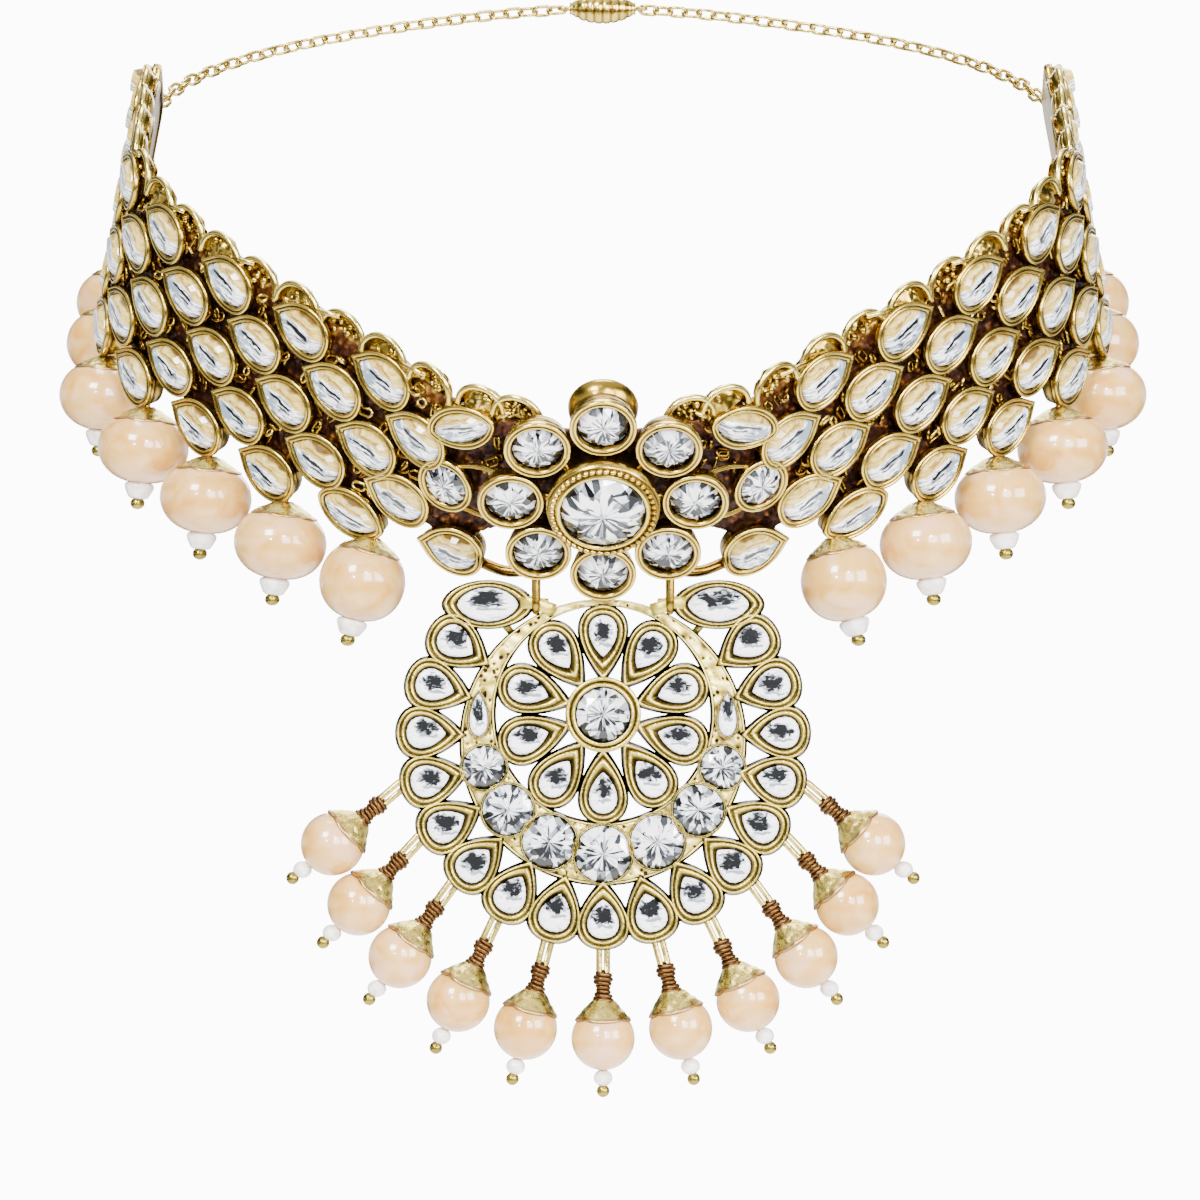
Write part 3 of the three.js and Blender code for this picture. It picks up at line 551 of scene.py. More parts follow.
def outline(shape, sides):
    """The unit plan of a cup, its tip on +X."""
    angle = 2 * math.pi * np.arange(sides) / sides
    x, y = np.cos(angle), np.sin(angle)
    if shape in ("marquise", "almond"):
        return np.stack([x, y * np.abs(y) ** (0.3 if shape == "marquise" else 0.1)], 1)
    fullness, point, corner = plan_points[shape]
    y = np.sign(y) * np.abs(y) ** fullness * np.sin(angle / 2) ** point
    off_tip = np.minimum(angle, 2 * math.pi - angle)
    x = x - corner * np.maximum(x, 0) + corner * np.maximum(1 - off_tip / 0.5, 0) ** 1.3
    return np.stack([x, y / np.max(y)], 1)


# Each row: share of the plan, inset as a share of the rim, depth as a share of the height,
# rise in millimetres, and wear with painted shading. The inner wall down to the stone is dark,
# which is patina and painted shade together.
collar_rim = [
    (0.45, 0.0, 1.0, -0.05, 0.4), (0.84, 0.0, 1.0, 0.0, 0.45), (0.88, 0.0, 0.96, 0.0, 0.6),
    (0.93, 0.0, 0.55, 0.0, 0.5), (0.94, 0.0, 0.42, 0.0, 0.1), (0.94, 0.0, 0.36, 0.0, 0.08),
    (0.99, 0.0, 0.3, 0.0, 0.5), (1.0, 0.0, 0.24, 0.0, 0.8), (1.0, 0.0, 0.08, 0.0, 0.6),
    (1.0, 0.07, 0.02, 0.0, 0.9), (1.0, 0.2, 0.0, 0.0, 1.0), (1.0, 0.34, 0.0, -0.06, 0.7),
    (1.0, 0.42, 0.0, -0.16, 0.2), (1.0, 0.47, 0.0, -0.16, 0.2), (1.0, 0.55, 0.0, -0.06, 0.75),
    (1.0, 0.68, 0.0, -0.02, 1.0), (1.0, 0.8, 0.0, -0.12, 0.6), (1.0, 0.9, 0.0, -0.3, 0.1),
    (1.0, 1.0, 0.0, -0.5, 0.0), (1.0, 1.04, 0.0, -0.7, 0.0)]
# On the pendant the foot of each cup flares out into a dark skirt, painted shade that draws a dark
# outline round the cup.
pendant_rim = [
    (0.7, 0.0, 1.0, 0.0, 0.6), (0.86, 0.0, 1.0, 0.0, 0.65), (0.9, 0.0, 0.95, 0.0, 0.5),
    (1.0, -0.16, 0.6, 0.0, 0.0), (1.0, -0.16, 0.4, 0.0, 0.0), (1.0, -0.06, 0.3, 0.0, 0.0),
    (1.0, 0.02, 0.15, 0.0, 0.1), (1.0, 0.06, 0.03, 0.0, 0.7), (1.0, 0.14, 0.0, 0.04, 1.0),
    (1.0, 0.22, 0.0, 0.0, 0.8), (1.0, 0.28, 0.0, -0.14, 0.2), (1.0, 0.4, 0.0, -0.2, 0.1),
    (1.0, 0.47, 0.0, -0.16, 0.3), (1.0, 0.56, 0.0, -0.08, 0.9), (1.0, 0.66, 0.0, -0.1, 0.9),
    (1.0, 0.74, 0.0, -0.24, 0.35), (1.0, 0.86, 0.0, -0.42, 0.05), (1.0, 1.04, 0.0, -0.7, -0.1)]


def setting(gathering, matrix, shape, length, width, height, rim, rows, sides=36, tip=0.0,
            inner_shape=None, sink=0.0):
    """One gold cup. Its rim lies on the matrix's plane and its tip points along X. tip is how
    much wider the rim is at the tip, and sink is how much deeper the stone lies."""
    outer_plan, inner_plan = outline(shape, sides), outline(inner_shape or shape, sides)
    points, shades = [], []
    for share, inset, depth, rise, wear in rows:
        blend = min(max(inset, 0.0) * 1.6, 1.0)
        shift = 0.0 if inner_shape == "marquise" else -tip * inset / 2
        plan = outer_plan * (1 - blend) + inner_plan * blend
        half = np.array([(length - tip * inset) * share, width * share]) / 2 - inset * rim
        flat = plan * half + [shift, 0]
        level = np.full((sides, 1), rise - depth * height - (sink if inset > 0.85 else 0.0))
        points.append(np.hstack([flat, level]))
        shades.extend([wear] * sides)
    gathering.add(moved(matrix, np.concatenate(points)), skin_faces(len(rows), sides),
                  wear=shades)


# %% [markdown]
# A pear or marquise stone is a shallow step cut: a steep crown round a wide flat table. A round
# one is a brilliant, with star, kite and girdle facets round an eight-sided table. Through the
# table the eye sees the lower facets as light and dark wedges, so the table is cut into wedges
# that each have a tone of painted reflection, and every other facet has one too. Flat shading
# keeps the facets crisp.

# %% Stones
facet_draw = random.Random(7)


def step_cut(gathering, matrix, shape, length, width, rise, right, up, sides=20):
    """A flat-topped stone. right and up are the ways of its plan map on the stone's plane."""
    plan = outline(shape, sides)
    rows = [(1.0, -0.35), (1.0, -0.08), (0.93, 0.35 * rise), (0.76, 0.95 * rise), (0.4, rise)]
    points, places = [], []
    reach_right = np.max(np.abs(plan * [length, width] @ np.array(right)))
    reach_up = np.max(np.abs(plan * [length, width] @ np.array(up)))
    for share, level in rows:
        flat = plan * np.array([length, width]) / 2 * share
        points.append(np.hstack([flat, np.full((sides, 1), level)]))
        places.append(np.stack([flat @ np.array(right) * 2 / reach_right,
                                flat @ np.array(up) * 2 / reach_up], 1))
    gathering.add(moved(matrix, np.concatenate(points)), skin_faces(len(rows), sides),
                  plan=np.concatenate(places), wear=facet_draw.random(), smooth=False)


def brilliant(gathering, matrix, diameter, rise, slot=1):
    """A round stone with real facets, each with its own tone of painted reflection."""
    radius = diameter / 2
    points, faces, reflection_tones = [(0, 0, -0.35 * radius)], [], []

    def ring(share, level, turns):
        start, reach = len(points), radius * share
        for turn in turns:
            angle = 2 * math.pi * turn / 16
            points.append((reach * math.cos(angle), reach * math.sin(angle), level))
        return list(range(start, len(points)))

    def facet(reflection_choices, *corners):
        faces.append(corners)
        reflection_tones.append(facet_draw.choice(reflection_choices))

    girdle = ring(1.0, 0.0, range(16))
    kite = ring(0.86, rise * 0.55, range(0, 16, 2))
    table = ring(0.66, rise, range(1, 16, 2))
    # Painted reflection: each facet takes a tone drawn from its list, and the pavilion fans below
    # are dark.
    for i in range(8):
        j, before, even = (i + 1) % 8, (i - 1) % 8, 2 * i
        facet((0.95, 0.85, 0.2), table[before], kite[i], table[i])
        facet((0.9, 0.65, 0.15), table[i], kite[i], girdle[even + 1], kite[j])
        facet((0.6, 0.95, 0.1), kite[i], girdle[even], girdle[even + 1])
        facet((0.85, 0.3), kite[i], girdle[even - 1], girdle[even])
        facet((0.3,), 0, girdle[even + 1], girdle[even])
        facet((0.3,), 0, girdle[(even + 2) % 16], girdle[even + 1])
    # The table is cut into spokes with painted reflection tones, light and dark in turn, and darker
    # in its lower part.
    spokes = 32
    inner = ring(0.13, rise, [k / 2 for k in range(spokes)])
    outer = ring(0.57, rise, [k / 2 for k in range(spokes)])
    for k in range(spokes):
        after = (k + 1) % spokes
        low = math.sin(2 * math.pi * k / spokes) < 0.35
        dark = (0.02, 0.1, 0.25) if low else (0.3, 0.6, 0.85)
        facet(dark if k % 2 == 0 else (0.8, 1.0), inner[k], outer[k], outer[after], inner[after])
        corner = table[k // 4]
        facet((0.5, 0.9, 0.15), outer[k], corner, outer[after])
        if k % 4 == 3:
            facet((0.4, 0.95), outer[after], corner, table[(k // 4 + 1) % 8])
    facet((0.2,), *inner)
    points = np.array(points)
    gathering.add(moved(matrix, points), faces, tone=reflection_tones, slot=slot, smooth=False,
                  plan=points[:, :2] / radius, wear=facet_draw.random())


# %% [markdown]
# The collar follows one curve: the top row, from the front round to the back. These are the
# same stations as the CAD solids have. At each station the lean says how far the lowest row
# lies from the top one, in band heights.

# %% The route of the collar
row_count, column_count = 5, 8
cup_length, cup_width, cup_height, cup_turn = 9.6, 6.7, 2.8, 9.0
row_nest, column_gap = 1.15, 4.4
column_pitch = cup_length + column_gap
band_height = (row_count - 1) * (cup_width - row_nest)
flower_radius, flower_to_collar = 11.8, 2.7
first_column_at = flower_radius + cup_length / 2 + flower_to_collar
link_depth = 1.6
rim_width, tip_rim, rim_flare = 1.15, 0.4, 0.7

stations = [
    ((0, -55, -31.8), (0, 0.58, -0.7)), ((18.3, -51, -28.1), (0.04, 0.58, -0.71)),
    ((28.6, -45.3, -21.6), (0.2, 0.52, -0.78)), ((39.7, -39.3, -14.7), (0.24, 0.52, -0.82)),
    ((49.8, -32.6, -8.1), (0.23, 0.52, -0.83)), ((58.9, -24.8, -0.7), (0.24, 0.53, -0.84)),
    ((64.7, -14.9, 7.4), (0.22, 0.52, -0.86)), ((65.3, -2.7, 14.3), (0.2, 0.48, -0.87)),
    ((65.8, 10, 20.7), (0.18, 0.45, -0.88)), ((63.5, 24, 28), (0.15, 0.42, -0.88)),
    ((54, 39, 35.5), (0.1, 0.35, -0.9)), ((33, 51.5, 42), (0.05, 0.3, -0.92)),
    ((0, 57, 46), (0, 0.3, -0.93))]


def curve_point(points, t, closed):
    """A place on a centripetal Catmull-Rom curve, t from 0 to 1."""
    count = len(points)
    spot = t * (count if closed else count - 1)
    whole = min(int(spot), count - (1 if closed else 2))
    share = spot - whole

    def pick(i):
        if closed:
            return points[i % count]
        if i < 0:
            return 2 * points[0] - points[1]
        if i >= count:
            return 2 * points[-1] - points[-2]
        return points[i]

    p0, p1, p2, p3 = pick(whole - 1), pick(whole), pick(whole + 1), pick(whole + 2)
    d0, d1, d2 = (math.sqrt((b - a).length) for a, b in ((p0, p1), (p1, p2), (p2, p3)))
    leave = ((p1 - p0) / d0 - (p2 - p0) / (d0 + d1) + (p2 - p1) / d1) * d1
    arrive = ((p2 - p1) / d1 - (p3 - p1) / (d1 + d2) + (p3 - p2) / d2) * d1
    square, cube = share * share, share ** 3
    return (p1 + leave * share + (3 * (p2 - p1) - 2 * leave - arrive) * square
            + (2 * (p1 - p2) + leave + arrive) * cube)


def both_sides(points):
    """Stations of the right half, and their mirror images, as one closed round."""
    right = [Vector(p) for p in points]
    return right + [Vector((-p.x, p.y, p.z)) for p in reversed(right[1:-1])]


top_points = both_sides([place for place, lean in stations])
lean_points = both_sides([lean for place, lean in stations])
measure_steps = 800
marks = [curve_point(top_points, i / measure_steps, True) for i in range(measure_steps + 1)]
lengths = np.concatenate([[0.0], np.cumsum([(b - a).length for a, b in zip(marks, marks[1:])])])
loop_length = float(lengths[-1])


def band_point(distance, share):
    """A place on the band, by its distance from the front centre and its share of the height."""
    t = float(np.interp(distance, lengths, np.arange(measure_steps + 1) / measure_steps))
    lean = curve_point(lean_points, t, True) * (band_height * share)
    return curve_point(top_points, t, True) + lean


def band_frame(side, distance, share):
    """Place, way along, way down and way out of the band, on the right or mirrored."""
    place = band_point(distance, share)
    along = (band_point(distance + 1, share) - band_point(distance - 1, share)).normalized()
    down = band_point(distance, share + 0.5) - band_point(distance, share - 0.5)
    down = (down - along * down.dot(along)).normalized()
    out = down.cross(along)
    flip = Vector((side, 1, 1))
    return place * flip, along * flip, down * flip, out * flip


def basis(x_axis, y_axis, z_axis, place):
    """A matrix from its axes and its place."""
    turn = Matrix((x_axis, y_axis, z_axis)).transposed().to_4x4()
    turn.translation = place
    return turn


def column_at(column):
    return first_column_at + (column - 1) * column_pitch


def row_share(row):
    return (row - 1) / (row_count - 1)


halves = ((-1, "left"), (1, "right"))
print("loop", round(loop_length, 1), "mm, band", round(band_height, 1), "mm")

# %% [markdown]
# Most cups of the collar are plain pears. A few near the flower are a marquise, a round or a
# wider pear. Rows 1, 3 and 5 lie on whole columns and rows 2 and 4 between them, so the cups
# nest like fish scales.

# %% Cups and stones of the collar
plain_cup = ("full pear", cup_turn, 1.0, 1.0, 0.0)
special_cups = {
    (1, 1): ("marquise", -28, 1.06, 0.86, 0.0), (3, 1): ("round", 0, 0.76, 1.09, 1.9),
    (4, 1.5): ("full pear", cup_turn, 1.0, 1.0, 1.4), (5, 1): ("full pear", 4, 0.92, 1.03, 0.9),
    (5, 2): ("marquise", 9, 1.04, 0.9, 0.0)}


def cup_kind(row, column):
    return special_cups.get((row, column), plain_cup)


def cup_columns(row):
    first = 1 if row % 2 == 1 else 1.5
    return [first + i for i in range(int(column_count - first) + 1)]


def cup_place(side, row, column):
    """The matrix of one cup of the collar."""
    _, turn, _, _, shift = cup_kind(row, column)
    place, along, down, out = band_frame(side, column_at(column) + shift, row_share(row))
    angle = math.radians(turn)
    x_axis = along * math.cos(angle) - down * math.sin(angle)
    return basis(x_axis, out.cross(x_axis), out, place)


def collar_cups(side, gold, stones):
    """The cups of one half of the collar, and their stones."""
    for row in range(1, row_count + 1):
        for column in cup_columns(row):
            shape, _, long_share, wide_share, _ = cup_kind(row, column)
            matrix = cup_place(side, row, column)
            length = cup_length * long_share + rim_flare
            width = cup_width * wide_share + rim_flare
            tip = tip_rim if shape == "full pear" else 0.0
            setting(gold, matrix, shape, length, width, cup_height, rim_width, collar_rim, tip=tip)
            seat = matrix @ Matrix.Translation((-tip / 2, 0, -0.3))
            if shape == "round":
                brilliant(stones, seat, length - 1.95 * rim_width, 0.5)
            else:
                step_cut(stones, seat, shape, length - tip - 1.95 * rim_width,
                         width - 1.95 * rim_width, 0.95, (1.0, 0.0), (0.0, float(side)))


for side, word in halves:
    gold, stones = Gathering(), Gathering()
    collar_cups(side, gold, stones)
    gold.make(f"collar_cups_{word}", [antique_gold], replaces=[f"collar_{word}"])
    stones.make(f"collar_stones_{word}", [pear_glass, brilliant_glass], slot="foiled_glass")

# %% [markdown]
# Behind the cups runs a thin plate with a grainy face. It is a maroon sheet of painted shade
# that closes the gaps and passes behind the flower, where it is painted darker still. It is cut
# inside the outer cups, so that it never shows below them. The grains are pushed into the mesh,
# and a few of them are lighter gold.

# %% Back plate
plate_depth, plate_thickness, grain_size = 1.9, 0.5, 0.85
plate_top_share = -0.12
# The share of the band at which the plate ends below, at distances from the front.
plate_bottom = [(0, 0.72), (10, 0.72), (16, 0.8), (22, 0.93), (30, 0.95), (150, 0.95)]


def back_plate(side, steps=420, wide=64):
    """A curved plate under the cups of one half."""
    plate = Gathering()
    end = column_at(column_count) + cup_length * 0.3
    front, back, shades = [], [], []
    for i in range(steps):
        distance = 0.02 + (end - 0.02) * i / (steps - 1)
        wave = 0.04 * math.cos(2 * math.pi * (distance - column_at(1)) / column_pitch)
        bottom = float(np.interp(distance, *zip(*plate_bottom))) + wave
        out = band_frame(side, distance, 0.5)[3]
        for k in range(wide):
            share = plate_top_share + (bottom - plate_top_share) * k / (wide - 1)
            place = band_point(distance, share) * Vector((side, 1, 1))
            near, spots = noise.voronoi(place / grain_size)
            cell = noise.cell(spots[0] * 7.0)
            bump = max(0.0, 1.0 - near[0] * 1.5)
            front.append((place - out * (plate_depth - 0.55 * bump)) * MM)
            back.append((place - out * (plate_depth + plate_thickness)) * MM)
            # Painted shade: the plate is darker near the front, behind the flower. It is lighter
            # amber towards its top edge, and the raised grains are lighter.
            amber = 0.4 * max(0.0, 1 - max(share - plate_top_share, 0) / 0.22)
            shine = bump * (0.85 if cell > 0.35 else 0.2)
            shades.append((amber + shine) * min(1.0, 0.3 + distance / 25))
    plate.add(front + back, shell_faces(steps, wide), wear=shades + [0.15] * len(back))
    return plate


for side, word in halves:
    back_plate(side).make(f"back_plate_{word}", [shade_sheet_finish])

# %% [markdown]
# The gaps between cups hold jump rings. They are drawn a little at random, from a fixed seed,
# so that no two gaps look alike and each run gives the same necklace.

# %% Jump rings in the gaps
ring_draw = random.Random(21)
ring_wire, rings_each_gap = 0.24, 5


def gap_rings(side):
    """Small rings and short wires in the gaps of one half."""
    bits = Gathering()
    for row in range(1, row_count):
        middles = [c + 0.5 for c in cup_columns(row) if c + 0.5 <= column_count]
        for column in middles + ([0.5 if row % 2 == 1 else 0.75] if row < 4 else []):
            for _ in range(rings_each_gap):
                distance = column_at(column) + ring_draw.uniform(-2.6, 2.6)
                share = row_share(row) + ring_draw.uniform(-0.08, 0.08)
                place, along, _, out = band_frame(side, distance, share)
                depth = ring_draw.uniform(0.7, 1.6)
                tilt = Matrix.Rotation(ring_draw.uniform(0, math.pi), 4, out)
                lie = Matrix.Rotation(ring_draw.uniform(0.2, 1.3), 4, along)
                matrix = Matrix.Translation(place - out * depth) @ tilt @ lie @ basis(
                    along, out.cross(along), out, (0, 0, 0))
                shine = ring_draw.choice((0.15, 0.3, 0.45, 0.8))
                link(bits, matrix, ring_draw.uniform(1.7, 2.6), 1.5, ring_wire, wear=shine,
                     steps=12)
    return bits


for side, word in halves:
    gap_rings(side).make(f"jump_rings_{word}", [antique_gold])

# %% [markdown]
# Along the top edge small gold hoods stand behind the first row, two for each column. Each is
# a bent shell like a quarter of a ball, with a bright lip of wire. Every second one is filled
# with a hammered mound, and a straight bright wire leads from the open ones to the next.

# %% Hoods along the top edge
hood_radius, hood_back, hood_wall = 3.6, 1.9, 0.3
hood_share, hood_level = -0.06, 0.9
# Distances from the front centre of the first hoods, then one step for the rest.
hood_distances = [11.6, 16.8, 25.5, 34.0, 41.0, 49.0]
hood_rises = [2.4, 2.4, 1.2, 0.6, 0.4]
hood_step, hood_last = 7.4, 121.0
hammer_mark, seeds_each_hood, between_wire = 1.1, 10, 0.32
while hood_distances[-1] + hood_step < hood_last:
    hood_distances.append(hood_distances[-1] + hood_step)


def hood(gathering, place, along, up, out, radius, lip_wire=0.44, arc_steps=20, back_steps=6):
    """A curved shell, open to the front and below, with a lip of wire on its edge."""
    outer, inner, lip = [], [], []
    for i in range(arc_steps + 1):
        angle = math.pi * (-0.04 + 1.08 * i / arc_steps)
        ray = along * math.cos(angle) + up * math.sin(angle)
        lip.append(place + ray * radius)
        for k in range(back_steps + 1):
            lean = math.radians(80) * k / back_steps
            spot = place + ray * (radius * math.cos(lean)) - out * (hood_back * math.sin(lean))
            deep = place + ray * ((radius - hood_wall) * math.cos(lean)) - out * (
                (hood_back - hood_wall) * math.sin(lean))
            outer.append(spot * MM)
            inner.append(deep * MM)
    # The inside of the shell is painted a little darker than its outside, as shade.
    shades = [0.65] * len(outer) + [0.6] * len(inner)
    gathering.add(outer + inner, shell_faces(arc_steps + 1, back_steps + 1), wear=shades)
    wire(gathering, lip, lip_wire, sides=8, wear=0.95, normal=out)


def mound(gathering, place, along, up, out, radius, depth, rows=12, sides=36):
    """A low gold mound with a hammered face."""
    points, shades = [], []
    for row in range(rows + 1):
        lean = math.pi / 2 * row / rows
        for i in range(sides):
            turn = 2 * math.pi * i / sides
            ray = along * math.cos(turn) + up * math.sin(turn)
            spot = place + ray * (radius * max(math.cos(lean), 0.02)) + out * (
                depth * math.sin(lean))
            near = noise.voronoi(spot / hammer_mark)[0]
            lump = max(0.0, 1 - near[0] * 1.5)
            points.append((spot + out * (0.5 * lump)) * MM)
            shades.append(0.4 + 0.7 * lump)
    gathering.add(points, skin_faces(rows + 1, sides), wear=shades)


def top_edge(side):
    """The hoods, their small balls and the wires between them, for one half."""
    edge = Gathering()
    for number, distance in enumerate(hood_distances):
        place, along, down, out = band_frame(side, distance, hood_share)
        rise = hood_rises[number] if number < len(hood_rises) else 0.4
        place = place - out * hood_level - down * rise
        radius = hood_radius * (0.92 if number < 2 else 1.0)
        hood(edge, place, along, -down, out, radius)
        full = number % 2 == 1
        mound(edge, place - out * (1.2 if full else 1.7), along, -down, out,
              radius * (0.9 if full else 0.75), 1.5 if full else 0.4)
        for _ in range(seeds_each_hood):
            turn = ring_draw.uniform(0.2, math.pi - 0.2)
            reach = ring_draw.uniform(0.2, 0.75) * radius
            spot = place + along * (reach * math.cos(turn)) - down * (reach * math.sin(turn))
            ball(edge, spot - out * ring_draw.uniform(0.0, 0.9), ring_draw.uniform(0.3, 0.6),
                 sides=8, rows=5, wear=ring_draw.choice((0.5, 0.75, 1.0)))
    for a, b in list(zip(hood_distances, hood_distances[1:]))[::2]:
        ends = []
        for distance, reach in ((a + hood_radius * 0.2, 0.95), (b - hood_radius * 0.75, 0.6)):
            place, _, down, out = band_frame(side, distance, hood_share)
            ends.append(place - out * (hood_level - 0.4) - down * (hood_radius * reach))
        wire(edge, [ends[0], (ends[0] + ends[1]) / 2, ends[1]], between_wire, wear=1.0)
    return edge


for side, word in halves:
    top_edge(side).make(f"top_hoods_{word}", [antique_gold])

# %% [markdown]
# The flower has eight round brilliants round a large one. The large stone stands in a raised
# bezel with a rope edge, which is made of small slanted beads laid side by side. Struts join
# the cups to the bezel from behind.

# %% Flower
flower_place, flower_lean = Vector((0, -52.5, -37.7)), 39.0
flower_cup_count, flower_cup_width, flower_rim = 8, 8.6, 1.1
flower_stone_width, flower_stone_level = 10.8, 1.75
flower_frame = Matrix.Translation(flower_place) @ Matrix.Rotation(
    math.radians(90 + flower_lean), 4, "X")
hinge_place = Vector((0, -39.5, -45.7))
pin_radius, pin_spacing, pin_half, post_inset = 0.4, 4.4, 1.4, 1.6
pear_radius, marquise_length, marquise_angle = 23.4, 11.0, math.radians(40)
marquise_x = pear_radius * math.sin(marquise_angle)
marquise_y = pear_radius * math.cos(marquise_angle)
ring_x = marquise_x - marquise_length / 2 - 0.8
hinge_above_centre = marquise_y + 0.5 + pin_spacing

flower_gold, flower_stones = Gathering(), Gathering()
bezel_profile = [
    (0.3, -2.8), (6.5, -2.8), (6.7, -2.6), (6.9, -0.6), (7.2, 0.2), (7.3, 0.9), (7.15, 1.5),
    (6.8, 1.75), (6.2, 1.8), (5.95, 2.1), (5.75, 2.2), (5.5, 2.1), (5.42, 1.7), (5.4, 1.0)]
bezel_wear = [0.4, 0.45, 0.5, 0.4, 0.6, 0.8, 0.7, 0.2, 0.15, 0.7, 1.0, 0.7, 0.1, 0.0]


def flower_cup_place(index):
    angle = 2 * math.pi * index / flower_cup_count
    return Vector((flower_radius * math.cos(angle), flower_radius * math.sin(angle), 0))


def rope_edge(gathering, matrix, radius, level, beads, size):
    """A twisted rope of slanted beads round a bezel."""
    for i in range(beads):
        angle = 2 * math.pi * i / beads
        spot = Vector((radius * math.cos(angle), radius * math.sin(angle), level))
        slant = Matrix.Rotation(angle, 4, "Z") @ Matrix.Rotation(math.radians(38), 4, "X")
        form = matrix @ Matrix.Translation(spot) @ slant
        profile = [(max(size * math.sin(math.pi * k / 6), 0.01),
                    -size * 1.5 * math.cos(math.pi * k / 6)) for k in range(7)]
        turned(gathering, form @ Matrix.Rotation(math.radians(90), 4, "X"), profile, 8,
               [0.3, 0.6, 0.85, 1.0, 0.85, 0.6, 0.3])


rope_radius, rope_level, rope_beads, rope_bead_size = 6.55, 1.85, 46, 0.36
turned(flower_gold, flower_frame, bezel_profile, 64, bezel_wear)
rope_edge(flower_gold, flower_frame, rope_radius, rope_level, rope_beads, rope_bead_size)
print("bezel with", rope_beads, "rope beads")

# %% Cups of the flower
cup_strut = 0.55
for i in range(flower_cup_count):
    spot = flower_frame @ Matrix.Translation(flower_cup_place(i))
    setting(flower_gold, spot, "round", flower_cup_width, flower_cup_width, 2.8, flower_rim,
            collar_rim, sides=48, sink=0.55)
    brilliant(flower_stones, spot @ Matrix.Translation((0, 0, -0.9)),
              flower_cup_width - 1.95 * flower_rim, 0.9, slot=0)
    path = [flower_frame @ (flower_cup_place(i) * share + Vector((0, 0, -link_depth)))
            for share in (0.1, 0.5, 1.0)]
    wire(flower_gold, path, cup_strut, wear=0.4)
print("flower cups", flower_cup_count)

# %% [markdown]
# A gold dome stands behind the top cup. Bent wires lead from the side cups to the collar, and
# thicker ones run under the lowest cups to the pins that the pendant hangs on.

# %% Dome, side wires and hinge pins
dome_width, dome_high, side_wire, low_wire = 9.0, 3.0, 0.38, 0.75


def bowed_wire(gathering, start, bend, end, radius, wear, steps=12):
    """A wire bent through one place between its ends."""
    path = [curve_point([start, bend, end], k / steps, False) for k in range(steps + 1)]
    wire(gathering, path, radius, wear=wear)


top_hood = flower_frame @ Vector((0, flower_radius - 0.5, -4.0))
flower_up = flower_frame.to_3x3() @ Vector((0, 1, 0))
dome_profile = [(0.2, -1.6), (4.3, -1.6)] + [
    (dome_width / 2 * math.cos(math.radians(a)), -1.4 + dome_high * math.sin(math.radians(a)))
    for a in range(0, 90, 9)]
turned(flower_gold, Matrix.Translation(top_hood) @ flower_frame.to_3x3().to_4x4(), dome_profile,
       40, [0.3, 0.4] + [0.5] * 10)
for side in (-1, 1):
    side_cup = flower_frame @ (flower_cup_place(0 if side > 0 else 4) + Vector((0, 0, -1.0)))
    for reach in (-3.1, 3.1):
        start = side_cup + flower_up * reach
        place, _, down, out = band_frame(side, column_at(1) + 1.0, row_share(3))
        end = place - down * reach - out * 1.2
        bow = (start + end) / 2 + flower_up * reach * 0.25
        bowed_wire(flower_gold, start, bow, end, side_wire, 0.85, steps=10)
    low_place, _, low_down, low_out = band_frame(side, column_at(1) - 2.0, 1.0)
    hinge_end = hinge_place + Vector((side * (ring_x - pin_half - 0.2), 0.6, 0.2))
    bend = (low_place + hinge_end) / 2 + Vector((0, 0, -1.3))
    start = low_place + low_down * 1.5 - low_out * link_depth
    bowed_wire(flower_gold, start, bend, hinge_end, low_wire, 0.25)
for side in (-1, 1):
    for end in (-1, 1):
        x = side * ring_x + end * pin_half
        low = flower_frame.inverted() @ (hinge_place + Vector((x, 0, 0)))
        high = Vector((x, flower_cup_place(7).y - post_inset, -link_depth))
        wire(flower_gold, [flower_frame @ low, flower_frame @ high], pin_radius, wear=0.5)
    pin = [hinge_place + Vector((side * ring_x + end * (pin_half + 0.3), 0, 0)) for end in (-1, 1)]
    wire(flower_gold, pin, pin_radius, wear=0.7)
flower_gold.make("flower_setting", [antique_gold], replaces=["flower"])
flower_stones.make("flower_stones", [brilliant_glass], slot="foiled_glass")
centre_stone = Gathering()
brilliant(centre_stone, flower_frame @ Matrix.Translation((0, 0, flower_stone_level)),
          flower_stone_width, 1.3, slot=0)
centre_stone.make("flower_centre_stone", [brilliant_glass], replaces=["flower_stone"],
                  slot="foiled_glass")

# %% [markdown]
# The pendant is a flat crescent of pale gold with a hole above its centre. Its face is pitted,
# as a rough casting is, so the pits are pushed into the mesh with noise. The rows across its
# width make rounded edges.

# %% Pendant crescent
ring_radius, hole_radius, hole_rise = 18.6, 14.2, 3.6
plate_high, cup_rise, pit_spacing = 1.5, 0.8, 0.7
pendant_middle_z = -plate_high / 4
pendant_place = hinge_place + Vector((0, pendant_middle_z, -hinge_above_centre))
pendant_frame = Matrix.Translation(pendant_place) @ Matrix.Rotation(math.radians(90), 4, "X")
pendant_gold, pendant_stones = Gathering(), Gathering()


def crescent_edge(angle):
    """How far the outer edge lies from the hole's middle, at an angle from the lowest point."""
    along = -math.cos(angle) * hole_rise
    return -along + math.sqrt(along * along + ring_radius ** 2 - hole_rise ** 2)


